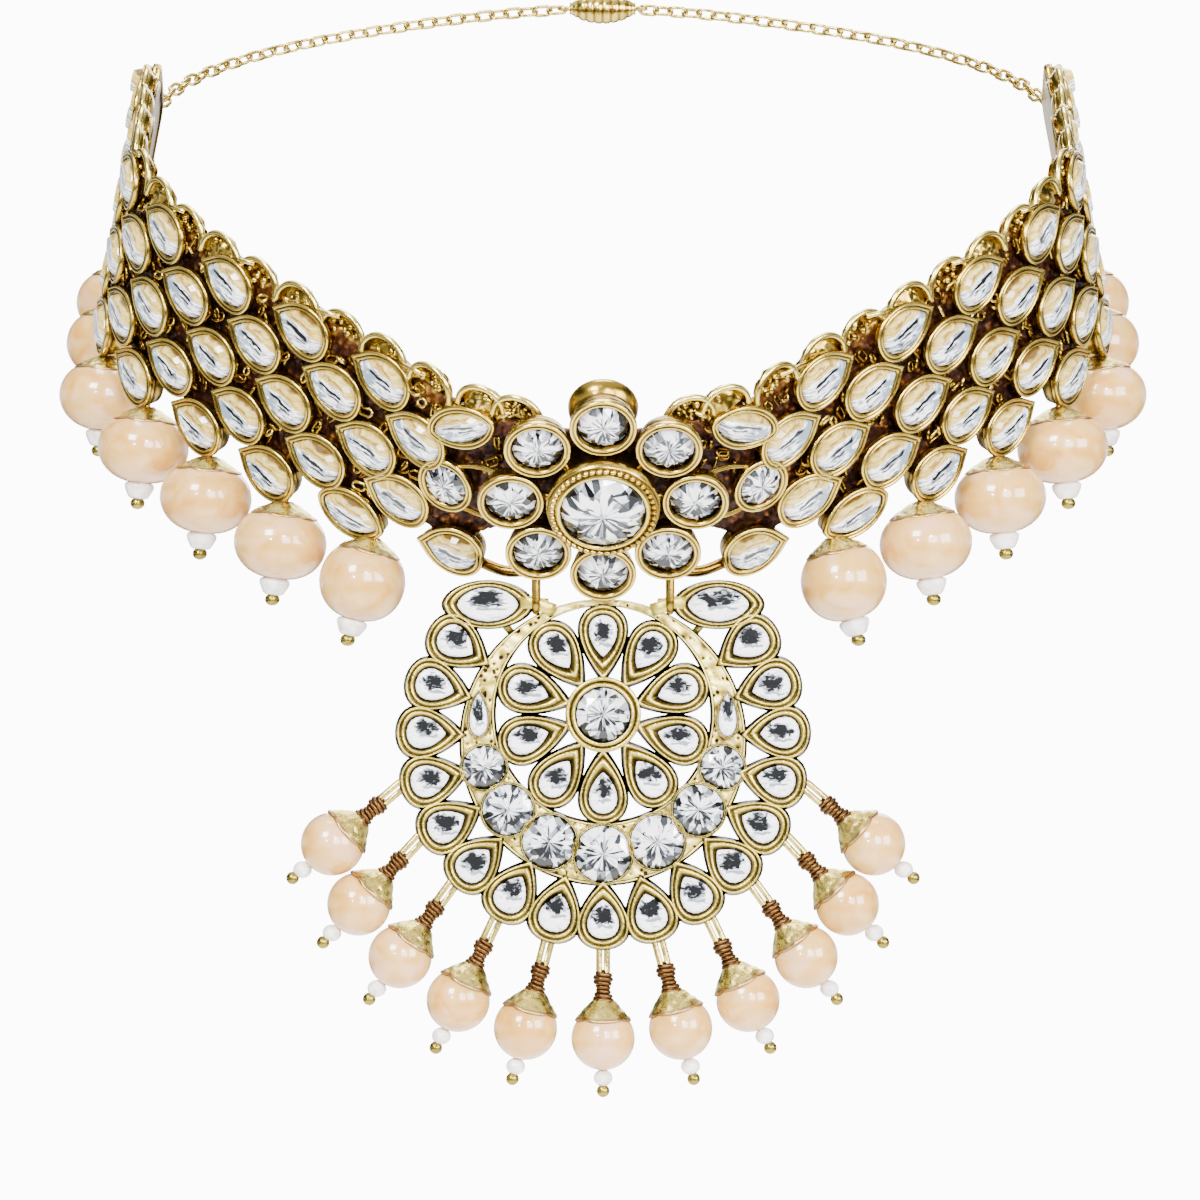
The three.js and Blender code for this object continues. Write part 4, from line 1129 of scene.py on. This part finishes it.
def crescent(gathering, steps=640, across=40):
    """The pitted crescent plate, with a fine raised line along both edges."""
    # At both edges the wall flares into a dark foot, painted shade that outlines the crescent, and
    # the grooves beside the raised line are dark.
    edge_rows = [(-0.24, -plate_high, 0.5), (-0.24, -0.4, -0.3), (-0.04, -0.3, -0.3),
                 (0.05, 0.0, 0.1), (0.15, 0.1, 1.0), (0.26, 0.1, 0.9), (0.4, -0.1, -0.3)]
    points, shades = [], []
    for i in range(steps):
        angle = 2 * math.pi * i / steps
        outer = crescent_edge(angle)
        width = outer - hole_radius
        line = min(0.9, width * 0.4)
        reaches = [(hole_radius + inset * line, level, wear) for inset, level, wear in edge_rows]
        for k in range(across):
            share = 0.45 * line / width + (1 - 0.9 * line / width) * k / (across - 1)
            reaches.append((hole_radius + width * share, 0.0, None))
        reaches += [(outer - inset * line, level, wear) for inset, level, wear in edge_rows[::-1]]
        for reach, level, wear in reaches:
            x, y = reach * math.sin(angle), -reach * math.cos(angle) + hole_rise
            if wear is None:
                near, spots = noise.voronoi(Vector((x, y, 3.1)) / pit_spacing)
                patch = noise.noise(Vector((x, y, 7.7)) * 0.8)
                deep = noise.cell(spots[0] * 5.0) + patch * 0.8 > -0.1
                sunk = min(1.0, max(0.0, 1.2 - near[0] * 2.6)) if deep else 0.0
                level, wear = 0.15 * patch - 0.35 * sunk, 0.8 + 0.9 * patch - 1.3 * sunk
            points.append((x, y, level))
            shades.append(wear)
    wide = across + 2 * len(edge_rows)
    faces = []
    for i in range(steps):
        for k in range(wide - 1):
            a, b = i * wide + k, (i + 1) % steps * wide + k
            faces.append((a, b, b + 1, a + 1))
        a, b = i * wide, (i + 1) % steps * wide
        faces.append((a, a + wide - 1, b + wide - 1, b))
    gathering.add(moved(pendant_frame, points), faces, wear=shades, slot=1)


crescent(pendant_gold)

# %% [markdown]
# Inside the hole a round hub holds ten petals, their tips towards it. Seventeen pears stand
# round the rim, and a marquise lies on each side of the top. Brilliants get smaller up each arm
# of the crescent and end in a narrow pear.

# %% Pendant cups
petal_count, petal_length, petal_width, petal_reach = 10, 9.9, 6.3, 14.25
pears_each_side, pear_spacing = 8, math.radians(15.5)
pear_length, pear_width, pear_reach = 9.0, 6.85, 27.0
petal_rim, petal_tip, pear_rim, pear_tip = 1.35, 1.9, 1.4, 1.2
hub_stone_width = 7.0
marquise_width = 6.2
cup_depth = plate_high + cup_rise + 0.06


def on_circle(radius, angle):
    """A place on the pendant's plane, by its angle from straight down."""
    return Vector((radius * math.sin(angle), -radius * math.cos(angle), 0))


def pendant_cup(shape, place, tip_angle, length, width, rim, sides=36, tip=0.0, outer=None):
    """A cup on the pendant and its stone, whose foil is lit from the top of the pendant."""
    form = pendant_frame @ Matrix.Translation((place.x, place.y, cup_rise)) @ Matrix.Rotation(
        tip_angle, 4, "Z")
    setting(pendant_gold, form, outer or shape, length, width, cup_depth, rim, pendant_rim, sides,
            tip, inner_shape=shape)
    seat = form @ Matrix.Translation((0 if shape == "marquise" else -tip / 2, 0, -0.42))
    if shape == "round":
        brilliant(pendant_stones, seat, length - 1.95 * rim, 0.7)
    else:
        right = (math.cos(tip_angle), -math.sin(tip_angle))
        up = (math.sin(tip_angle), math.cos(tip_angle))
        step_cut(pendant_stones, seat, shape, length - tip - 1.95 * rim, width - 1.95 * rim, 0.3,
                 right, up)


def flat_strut(start, end, radius=0.5):
    """A strut on the back of the pendant."""
    lift = Vector((0, 0, -plate_high * 0.55))
    path = [pendant_frame @ (Vector(spot) + lift) for spot in (start, end)]
    wire(pendant_gold, path, radius, wear=0.5)


hub = Vector((0, hole_rise, 0))
hub_form = pendant_frame @ Matrix.Translation(hub)
hub_profile = [(0.3, -1.5), (4.3, -1.5), (4.6, -1.3), (4.85, 0.0), (4.95, 0.6), (4.9, 0.95),
               (4.7, 1.1), (4.45, 1.05), (4.35, 0.9), (4.25, 0.9), (4.15, 1.15), (4.0, 1.35),
               (3.8, 1.4), (3.65, 1.25), (3.58, 0.95), (3.55, 0.4)]
turned(pendant_gold, hub_form, hub_profile, 64,
       [0.4, 0.4, 0.4, 0.1, 0.4, 0.9, 1.0, 0.6, 0.1, 0.1, 0.6, 0.95, 1.0, 0.4, 0.0, 0.0])
for i in range(petal_count):
    angle = 2 * math.pi * i / petal_count
    spot = on_circle(petal_reach - petal_length / 2, angle) + hub
    pendant_cup("pear", spot, angle + math.pi / 2, petal_length, petal_width, petal_rim,
                tip=petal_tip, outer="petal")
for i in range(-pears_each_side, pears_each_side + 1):
    angle = i * pear_spacing
    spot = on_circle(pear_reach - pear_length / 2, angle)
    pendant_cup("pear", spot, angle + math.pi / 2, pear_length, pear_width, pear_rim,
                tip=pear_tip, outer="petal")
print("petals", petal_count, "and pears", 2 * pears_each_side + 1)

# %% [markdown]
# The stones of the crescent have only a fine collar of gold, because the plate itself is their
# setting. The marquises carry staples, and a small pitted plate joins each one to the crescent.

# %% Stones of the crescent, marquises and staples
crescent_stones = [(0, 8.2), (23, 7.8), (45, 7.4), (66, 6.4)]
arm_pear_length, arm_pear_width = 6.4, 3.2
marquise_flare, marquise_rim, marquise_tip = 0.6, 0.9, 1.9
lug_wire, lug_flatness = 0.85, 0.5


def crescent_place(angle):
    """The middle of the crescent's width, at an angle from its lowest point."""
    middle = (crescent_edge(angle) + hole_radius) / 2
    return on_circle(middle, angle) + hub


for degrees, width in crescent_stones:
    for side in ((1,) if degrees == 0 else (-1, 1)):
        pendant_cup("round", crescent_place(side * math.radians(degrees)), 0.0, width, width, 0.42,
                    sides=40)
for side in (-1, 1):
    arm = crescent_place(side * math.radians(90))
    pendant_cup("pear", arm, math.pi / 2, arm_pear_length, arm_pear_width, 0.4)
    spot = Vector((side * marquise_x, marquise_y, 0))
    pendant_cup("marquise", spot, 0.0, marquise_length + marquise_flare, marquise_width,
                marquise_rim, sides=40, tip=marquise_tip, outer="almond")
    inward = spot.normalized() * (ring_radius - 0.9)
    flat_strut(inward, spot)
    pin_y = hinge_above_centre - pin_spacing
    inner = side * (ring_x - pin_half)
    outer = side * (marquise_x - marquise_length / 2 + 1.4)
    middle = Vector((0, 0, pendant_middle_z))
    staple = [Vector((outer, pin_y, 0)), Vector((inner, pin_y, 0)),
              Vector((inner, math.sqrt(ring_radius ** 2 - inner ** 2) - 0.8, 0))]
    wire(pendant_gold, [pendant_frame @ (p + middle) for p in staple], pin_radius, wear=0.7)
    lug = [Vector((side * (marquise_x - marquise_length / 2 + 1.2), marquise_y + 0.2, 0.5)),
           Vector((side * ring_x, marquise_y + 0.3, 0.5)), Vector((inner, marquise_y - 0.4, 0.4)),
           Vector((inner - side * 1.0, ring_radius - 1.4, 0.1))]
    wire(pendant_gold, [pendant_frame @ p for p in lug], lug_wire, sides=16, wear=0.7,
         flat=lug_flatness, normal=(0, -1, 0), slot=1)
pendant_gold.make("pendant_setting", [pale_gold, pitted_gold], body="pendant",
                  replaces=["pendant_frame"], slot="pale_gold")
pendant_stones.make("pendant_stones", [petal_glass, brilliant_glass], body="pendant",
                    slot="foiled_glass")
hub_stone = Gathering()
brilliant(hub_stone, hub_form @ Matrix.Translation((0, 0, 1.0)), hub_stone_width, 0.8, slot=0)
hub_stone.make("pendant_hub_stone", [brilliant_glass], body="pendant", replaces=["pendant_stone"],
               slot="foiled_glass")

# %% [markdown]
# Two oval rings hang on pins behind the flower and carry the pendant by its staples. They turn
# with the pendant, so they ride on its body.

# %% Suspension rings
ring_wire_radius, ring_depth = 0.58, 3.8
ring_height = pin_spacing + 2 * (pin_radius + 0.3 + 2 * ring_wire_radius)
for side, word in halves:
    place = Vector((side * ring_x, hinge_place.y, hinge_place.z - pin_spacing / 2))
    ring = Gathering()
    upright = basis(Vector((0, 0, 1)), Vector((0, 1, 0)), Vector((-1, 0, 0)), place)
    link(ring, upright, ring_height, ring_depth, ring_wire_radius, wear=0.5, sides=12, steps=40)
    ring.make(f"hanging_ring_{word}", [antique_gold], body="pendant",
              replaces=[f"suspension_ring_{word}"])

# %% [markdown]
# A pearl drop has a slim link, a neck wrapped with fine bronze wire, a gold cap and a pearl on
# a wire that ends in a white bead and a gold ball. The cap is a tall bell: it flares from the
# neck, then hugs the pearl as a crinkled shell of leaves with an edge of copper.


# %% Parts of a drop
def drop_frame(top, hangs):
    """A frame at the top of a drop, whose -Z axis is the way that the drop hangs."""
    z_axis = -hangs.normalized()
    x_axis = Vector((0, 1, 0)).cross(z_axis).normalized()
    return basis(x_axis, z_axis.cross(x_axis), z_axis, top)


def leaf_cap(gathering, form, pearl_radius, pearl_half, top, leaves=4, reach=62.0, bell=1.0,
             sides=64, rows=16):
    """A bell of leaves over the top of a pearl whose top is at a height on the drop's axis."""
    points, shades = [], []
    for skin, thick in ((0, 0.26), (1, 0.05)):
        for row in range(rows):
            share = row / (rows - 1)
            for i in range(sides):
                turn = 2 * math.pi * i / sides
                leaf = abs(math.cos(leaves / 2 * turn + math.pi / 2 * (leaves // 2 % 2)))
                polar = math.radians(9 + (reach - 9) * share * (0.9 + 0.1 * leaf ** 0.7))
                out = Vector((math.sin(polar) * math.cos(turn), math.sin(polar) * math.sin(turn),
                              math.cos(polar)))
                crinkle = noise.noise(out * pearl_radius * 1.5 + Vector((0, 0, top)))
                puff = thick + (0.16 * crinkle if skin == 0 else 0.0)
                level = top - pearl_half + (pearl_half + puff) * out.z + bell * (1 - share) ** 2.6
                points.append(((pearl_radius + puff) * out.x, (pearl_radius + puff) * out.y, level))
                gap = 0.25 * (1 - leaf) ** 2
                shades.append(1.15 + 0.45 * crinkle - gap if skin == 0 else 0.1)
    copper = [row < 2 or row > rows - 4 for row in range(rows - 1)]
    slots = [int(edge) for edge in copper for i in range(2 * sides)] + [1] * (2 * sides)
    gathering.add(moved(form, points), shell_faces(rows, sides, goes_round=True), wear=shades,
                  slot=slots)


def pearl_form(gathering, form, radius, half, top, squareness=1.0, sides=40, rows=26):
    """A pearl, or a rondelle when it is flatter than it is wide."""
    profile = []
    for row in range(rows + 1):
        angle = math.pi * row / rows
        across = max(math.sin(angle), 0.02) ** squareness
        profile.append((radius * across, top - half - half * math.cos(angle)))
    turned(gathering, form, profile, sides)


def coil(gathering, form, radii, wire_radius, top, length, turns, steps=14):
    """Fine wire wrapped round a neck, whose radius follows a list from top to bottom."""
    path = []
    count = int(turns * steps)
    for i in range(count + 1):
        angle = 2 * math.pi * i / steps
        radius = float(np.interp(i / count, np.linspace(0, 1, len(radii)), radii))
        level = top - length * i / count
        path.append(form @ Vector((radius * math.cos(angle), radius * math.sin(angle), level)))
    axis = form.to_3x3() @ Vector((0, 0, 1))
    wire(gathering, path, wire_radius, sides=6, wear=0.6, normal=axis, slot=1)


# %% [markdown]
# Eleven drops fan out below the pendant, and lean more the further they are from the middle.
# Their pearls are single pieces. The links, wires and caps are one piece, and the beads another.

# %% Pendant drops
pearl_diameter, neck_length, link_pin_length = 8.0, 4.0, 3.4
pearl_radius = 4.15
drop_leans = [0, 14.4, 25.2, 36, 43, 49.5]
drop_link_length, drop_link_width, drop_link_wire, drop_link_turn = 4.7, 1.9, 0.42, 78
neck_radii, neck_wire, neck_turns = (0.5, 1.0, 1.05, 0.7, 0.65, 0.95, 1.15), 0.34, 7
bead_radius, gold_ball_radius = 1.25, 0.85
drop_metal, drop_beads = Gathering(), Gathering()
for i in range(-5, 6):
    top = pendant_frame @ (on_circle(pear_reach + 0.3, i * pear_spacing)
                           + Vector((0, 0, pendant_middle_z)))
    lean = math.copysign(math.radians(drop_leans[abs(i)]), i)
    form = drop_frame(top, Vector((math.sin(lean), 0, -math.cos(lean))))
    link_place = form @ Matrix.Translation((0, 0, -1.15)) @ Matrix.Rotation(
        math.radians(90), 4, "Y") @ Matrix.Rotation(math.radians(drop_link_turn), 4, "X")
    link(drop_metal, link_place, drop_link_length, drop_link_width, drop_link_wire, wear=0.9,
         sides=8)
    neck_top, neck_foot = -2.6, -link_pin_length - neck_length + 0.9
    coil(drop_metal, form, neck_radii, neck_wire, neck_top, neck_top - neck_foot, neck_turns)
    turned(drop_metal, form, [(1.0, neck_foot), (0.7, neck_foot + 1.2), (0.9, neck_top - 1.2),
                              (0.4, neck_top)], 12, [0.1] * 4, slot=1)
    pearl_top = -link_pin_length - neck_length + pearl_radius - pearl_diameter / 2
    pearl = Gathering()
    pearl_form(pearl, form, pearl_radius, pearl_radius, pearl_top)
    pearl.make(f"pendant_pearl_{i + 6}", [peach_pearl], body="pendant",
               replaces=[f"pendant_drop_{i + 6}"], slot="pearl")
    leaf_cap(drop_metal, form, pearl_radius, pearl_radius, pearl_top, bell=1.5, reach=58)
    foot = pearl_top - 2 * pearl_radius
    ball(drop_beads, form @ Vector((0, 0, foot - 1.0)), bead_radius, stretch=0.9)
    ball(drop_metal, form @ Vector((0, 0, foot - 2.7)), gold_ball_radius, wear=0.55)
drop_metal.make("pendant_drop_metal", [pale_gold, wrapped_wire], body="pendant", slot="pale_gold")
drop_beads.make("pendant_drop_beads", [white_bead], body="pendant", slot="pearl")

# %% [markdown]
# The collar's drops hang close under the lowest row. Their pearls are rondelles, wider than
# they are high, and lean outwards a little. A white glass cone and a gold ball end each one.

# %% Collar drops
rondelle_diameter, rondelle_height, collar_neck, drop_gap = 12.0, 9.4, 1.2, 0.4
# Each drop: its column, how far it sits inward and outward, its lean in degrees, and the shares
# of the rondelle's width and height that it has.
collar_drops = [
    (2, 3.8, 0.6, 14, 0.92, 1.08), (3, 4.0, 0.6, 8, 1, 1), (4, 3.4, 0.6, 6, 1, 1),
    (5, 4.0, 0.4, 6, 1, 1), (6, 2.6, 0, 6, 1, 1), (7, 0.6, 0.0, 9, 0.94, 1),
    (8, 0, 0.0, 9, 0.94, 1)]
drop_lift, pearl_growth = 0.8, 1.035
plan_taper, plan_fullness = 0.45, 1.08
cone_profile = [(1.3, 0.2), (1.9, 0.0), (2.05, -0.35), (1.95, -0.8), (1.65, -1.4), (1.35, -1.9),
                (1.0, -2.1)]


def edge_below(column, inward):
    """How far the solid's lowest row reaches below its line, at a distance inward."""
    shape, turn, long_share, wide_share, _ = cup_kind(row_count, column)
    angle = math.acos(-inward / (cup_length * long_share / 2))
    sine = math.sin(angle)
    plan = sine * abs(sine) ** 0.3
    if shape == "full pear":
        plan = sine * (1 - plan_taper * math.cos(angle)) / plan_fullness
    return plan * cup_width * wide_share / 2 + inward * math.tan(math.radians(turn))


def collar_drop_top(side, column, inward, outward):
    place, along, down, out = band_frame(side, column_at(column), 1.0)
    fall = edge_below(column, inward) + drop_gap
    return place - along * inward + down * fall + out * (outward - link_depth)


for side, word in halves:
    metal, beads = Gathering(), Gathering()
    for column, inward, outward, lean, wide_share, high_share in collar_drops:
        top = collar_drop_top(side, column, inward, outward) + Vector((0, 0, drop_lift))
        tilt = math.radians(lean)
        form = drop_frame(top, Vector((side * math.sin(tilt), 0, -math.cos(tilt))))
        radius = rondelle_diameter * wide_share / 2 * pearl_growth
        half = rondelle_height * high_share / 2 * pearl_growth
        pearl = Gathering()
        pearl_form(pearl, form, radius, half, -collar_neck, squareness=0.86)
        pearl.make(f"collar_pearl_{word}_{column - 1}", [peach_pearl],
                   replaces=[f"collar_drop_{word}_{column - 1}"], slot="pearl")
        leaf_cap(metal, form, radius, half, -collar_neck, leaves=6, reach=46, bell=0.6, sides=72)
        eye = form @ Matrix.Translation((0, 0, -0.2)) @ Matrix.Rotation(math.radians(90), 4, "Y")
        link(metal, eye, 3.2, 2.2, 0.3, wear=0.8, sides=8)
        foot = -collar_neck - 2 * half
        turned(beads, form, [(across, foot + fall) for across, fall in cone_profile])
        ball(metal, form @ Vector((0, 0, foot - 2.7)), 1.0, wear=0.55, stretch=0.85)
    metal.make(f"collar_drop_metal_{word}", [pale_gold, wrapped_wire], slot="pale_gold")
    beads.make(f"collar_drop_beads_{word}", [white_bead], slot="pearl")

# %% [markdown]
# Behind the neck an end plate gathers the rows on each side, and is set with smaller pears. A
# fine chain of oval links, each turned a quarter from the last, leads from it to a barrel
# clasp. The photo only shows the silvery edge of the last stones, so the rest is a guess.

# %% End plates
plate_length, end_plate_thickness, plate_tip, chain_share = 10.0, 1.4, 3.0, 0.3
plate_at = column_at(column_count) + cup_length / 2 + 0.3


def end_plate_frame(side):
    place, along, down, out = band_frame(side, plate_at, 0.0)
    return basis(along, -down, along.cross(-down), place - out * link_depth)


def end_plate(side):
    """The plate as a stack of outlines, with rounded edges and a sunk face."""
    plate = Gathering()
    high, low = cup_width / 2, -band_height - cup_width / 2
    tip = -band_height * chain_share
    corners = [(0, low), (plate_tip / 2, low), (plate_length, tip - plate_tip / 2),
               (plate_length, tip + plate_tip / 2), (plate_tip / 2, high), (0, high)]
    ring = []
    for (x0, y0), (x1, y1) in zip(corners, corners[1:] + corners[:1]):
        ring += [(x0 + (x1 - x0) * k / 6, y0 + (y1 - y0) * k / 6) for k in range(6)]
    middle = np.mean(np.array(ring), 0)
    half = end_plate_thickness / 2
    points, shades = [], []
    rows = [(0.94, -half, 0.7), (0.99, -half * 0.8, 0.9), (1.0, 0, 0.5), (0.99, half * 0.8, 0.9),
            (0.94, half, 0.75), (0.8, half, 0.8), (0.78, half * 0.7, 0.2), (0.5, half * 0.7, 0.45)]
    for share, level, wear in rows:
        for x, y in ring:
            points.append((middle[0] + (x - middle[0]) * share,
                           middle[1] + (y - middle[1]) * share, level))
            shades.append(wear)
    plate.add(moved(end_plate_frame(side), points), skin_faces(len(rows), len(ring)), wear=shades)
    return plate


end_cup_places = [(1.4, 0.4), (1.4, -5.3), (1.4, -11.0), (1.4, -16.7), (1.4, -22.0),
                  (5.4, -3.2), (5.4, -10.0)]
end_cup_length, end_cup_width, end_cup_height, end_rim = 7.0, 5.2, 1.8, 0.85
end_stone_length, end_stone_width, end_stone_rise = 5.4, 3.8, 1.3


def end_cups(side, gold, stones):
    """Smaller cups on the outer face of an end plate."""
    flat = end_plate_frame(side)
    for x, y in end_cup_places:
        place = flat @ Vector((x, y, side * (end_plate_thickness / 2 + 1.2)))
        axes = [flat.to_3x3() @ Vector(axis) for axis in ((1, 0, 0), (0, 0, side))]
        form = basis(axes[0], axes[1].cross(axes[0]), axes[1], place)
        setting(gold, form, "full pear", end_cup_length, end_cup_width, end_cup_height, end_rim,
                collar_rim, tip=0.3)
        step_cut(stones, form @ Matrix.Translation((-0.15, 0, 0.1)), "full pear",
                 end_stone_length, end_stone_width, end_stone_rise, (1.0, 0.0),
                 (0.0, float(side)))


for side, word in halves:
    plate, stones = end_plate(side), Gathering()
    end_cups(side, plate, stones)
    plate.make(f"end_plate_gold_{word}", [antique_gold], replaces=[f"end_plate_{word}"])
    stones.make(f"end_plate_stones_{word}", [pear_glass], slot="foiled_glass")

# %% [markdown]
# The chain follows the same curve as the tube that stands for it in the CAD model. Its links
# are spaced by the length of that curve, so the last one meets the clasp on each side.

# %% Chain and clasp
chain_link_length, chain_link_width, chain_wire = 3.3, 2.2, 0.27
chain_step, clasp_length, clasp_width = 8.0, 10.0, 4.6


def chain_route(side):
    """The same points as the CAD chain has, as a curve."""
    start = end_plate_frame(side) @ Vector((plate_length + 0.3, -band_height * chain_share, 0))
    first = plate_at + plate_length + chain_step
    last = loop_length / 2 - clasp_length / 2 - 0.3
    steps = round((last - first) / chain_step)
    spots = [start]
    for i in range(steps + 1):
        spots.append(band_frame(side, first + (last - first) * i / steps, chain_share)[0])
    return spots


for side, word in halves:
    spots = chain_route(side)
    fine = [curve_point(spots, i / 400, False) for i in range(401)]
    run = np.concatenate([[0], np.cumsum([(b - a).length for a, b in zip(fine, fine[1:])])])
    total = float(run[-1])
    count = round((total - chain_link_length) / (chain_link_length - 4 * chain_wire)) + 1
    chain = Gathering()
    for i in range(count):
        middle = chain_link_length / 2 + (total - chain_link_length) * i / (count - 1)
        before, after = (fine[int(np.searchsorted(run, np.clip(middle + d, 0, total - 1e-6)))]
                         for d in (-1, 1))
        way = (after - before).normalized()
        spot = Vector([float(np.interp(middle, run, [p[k] for p in fine])) for k in range(3)])
        side_way = way.cross(Vector((0, 0, 1))).normalized()
        quarter = Matrix.Rotation(math.radians(90) * (i % 2) + 0.78, 4, way)
        side_way = quarter @ side_way
        link(chain, basis(way, side_way, way.cross(side_way), spot), chain_link_length,
             chain_link_width, chain_wire, wear=0.8, sides=6, steps=16)
    chain.make(f"chain_links_{word}", [antique_gold], replaces=[f"chain_{word}"])
    print("chain", word, "links", count, "length", round(total, 1), "mm")

clasp_gold = Gathering()
clasp_profile, clasp_wear = [], []
for k in range(33):
    share = k / 32
    swell = math.sin(math.pi * min(max(share, 0.04), 0.96)) ** 0.45
    groove = 0.16 if k % 4 == 0 and 0 < k < 32 else 0.0
    clasp_profile.append((clasp_width / 2 * swell - groove, (share - 0.5) * clasp_length))
    clasp_wear.append(0.25 if groove else 0.85)
clasp_place = band_point(loop_length / 2, chain_share)
clasp_form = Matrix.Translation(clasp_place) @ Matrix.Rotation(math.radians(90), 4, "Y")
turned(clasp_gold, clasp_form, clasp_profile, 32, clasp_wear)
for side in (-1, 1):
    eye = clasp_place + Vector((side * (clasp_length / 2 + 0.5), 0, 0))
    link(clasp_gold, Matrix.Translation(eye), 2.8, 2.0, 0.3, wear=0.8)
clasp_gold.make("barrel_clasp", [antique_gold], replaces=["clasp"])

# %% [markdown]
# The picture has a pure white ground. The necklace is lit by soft lamps, and what its polished
# metal mirrors is a studio with bright and dark parts, because gold before plain white looks
# like ivory. So the sky is white to look at and the studio bands only light the object. The
# floor is a pale round table top that fades out at its edge.

# %% Floor
floor_level, floor_radius = -0.25, 0.6
ring_count, ring_sides = 12, 96
floor_points = [(0, 0, floor_level)]
floor_faces = []
for row in range(1, ring_count + 1):
    for i in range(ring_sides):
        angle = 2 * math.pi * i / ring_sides
        reach = floor_radius * row / ring_count
        floor_points.append((reach * math.cos(angle), reach * math.sin(angle), floor_level))
for i in range(ring_sides):
    floor_faces.append((0, 1 + i, 1 + (i + 1) % ring_sides))
for row in range(ring_count - 1):
    for i in range(ring_sides):
        a, b = 1 + row * ring_sides + i, 1 + row * ring_sides + (i + 1) % ring_sides
        floor_faces.append((a, a + ring_sides, b + ring_sides, b))
floor_mesh = bpy.data.meshes.new("floor")
floor_mesh.from_pydata(floor_points, [], floor_faces)
floor = bpy.data.objects.new("floor", floor_mesh)
bpy.context.scene.collection.objects.link(floor)
pale_floor, tree, shader = finish("pale_matte_table", Roughness=0.9)
shader.inputs["Base Color"].default_value = linear("#FBFBF9")
place = node(tree, "ShaderNodeTexCoord").outputs["Object"]
away = node(tree, "ShaderNodeVectorMath", {0: place}, operation="LENGTH").outputs["Value"]
fade = node(tree, "ShaderNodeMapRange", {
    "Value": away, "From Min": 0.3, "From Max": floor_radius, "To Min": 1.0, "To Max": 0.0},
    interpolation_type="SMOOTHSTEP")
tree.links.new(fade.outputs[0], shader.inputs["Alpha"])
floor_mesh.materials.append(pale_floor)

# %% [markdown]
# The lamps are few and soft: a key from the upper left, a fill, a light from above, a window
# with a violet tint for the pearls, two small ones for sparks in the stones, and one behind.

# %% Sky and lamps
world = bpy.data.worlds.new("studio")
world.use_nodes = True
bpy.context.scene.world = world
tree = world.node_tree
look = node(tree, "ShaderNodeSeparateXYZ", {
    0: node(tree, "ShaderNodeTexCoord").outputs["Generated"]})
height = node(tree, "ShaderNodeMapRange", {
    "Value": look.outputs[2], "From Min": -1.0, "From Max": 1.0})
bands = node(tree, "ShaderNodeValToRGB", {"Fac": height}, [
    (0.2, "#3E3A35"), (0.42, "#5B5650"), (0.47, "#FFFFFF"), (0.55, "#FFFFFF"),
    (0.62, "#4A4640"), (0.78, "#3A3733"), (0.86, "#FFFFFF"), (1.0, "#FFFFFF")])
studio = tree.nodes["Background"]
tree.links.new(bands.outputs["Color"], studio.inputs["Color"])
studio.inputs["Strength"].default_value = 1.5
white_ground = node(tree, "ShaderNodeBackground", {"Color": "#FFFFFF", "Strength": 12.0})
seen = node(tree, "ShaderNodeMixShader", {
    0: node(tree, "ShaderNodeLightPath").outputs["Is Camera Ray"],
    1: studio, 2: white_ground})
tree.links.new(seen.outputs[0], tree.nodes["World Output"].inputs["Surface"])


def lamp(name, place, target, size, power, colour="#FFFFFF"):
    """A square soft lamp that looks at a place."""
    data = bpy.data.lights.new(name, "AREA")
    data.shape = "SQUARE"
    data.size = size
    data.energy = power
    data.color = linear(colour)[:3]
    made = bpy.data.objects.new(name, data)
    made.location = place
    made.rotation_euler = (Vector(target) - Vector(place)).to_track_quat("-Z", "Y").to_euler()
    bpy.context.scene.collection.objects.link(made)
    return made


middle = (0, 0, -0.04)
lamp("key", (-0.4, -0.75, 0.5), middle, 0.3, 19.0)
lamp("fill", (0.65, -0.6, 0.15), middle, 0.4, 13.0)
lamp("top", (0.0, 0.1, 0.8), middle, 0.45, 12.0)
lamp("spark_left", (-0.3, -0.8, 0.12), middle, 0.05, 2.5)
lamp("spark_right", (0.16, -0.8, 0.3), middle, 0.05, 2.5)
lamp("window", (0.22, -0.8, 0.12), middle, 0.3, 9.0, "#F2E6FF")
lamp("back", (0.1, 0.8, 0.4), middle, 0.6, 8.0)
print("light set")
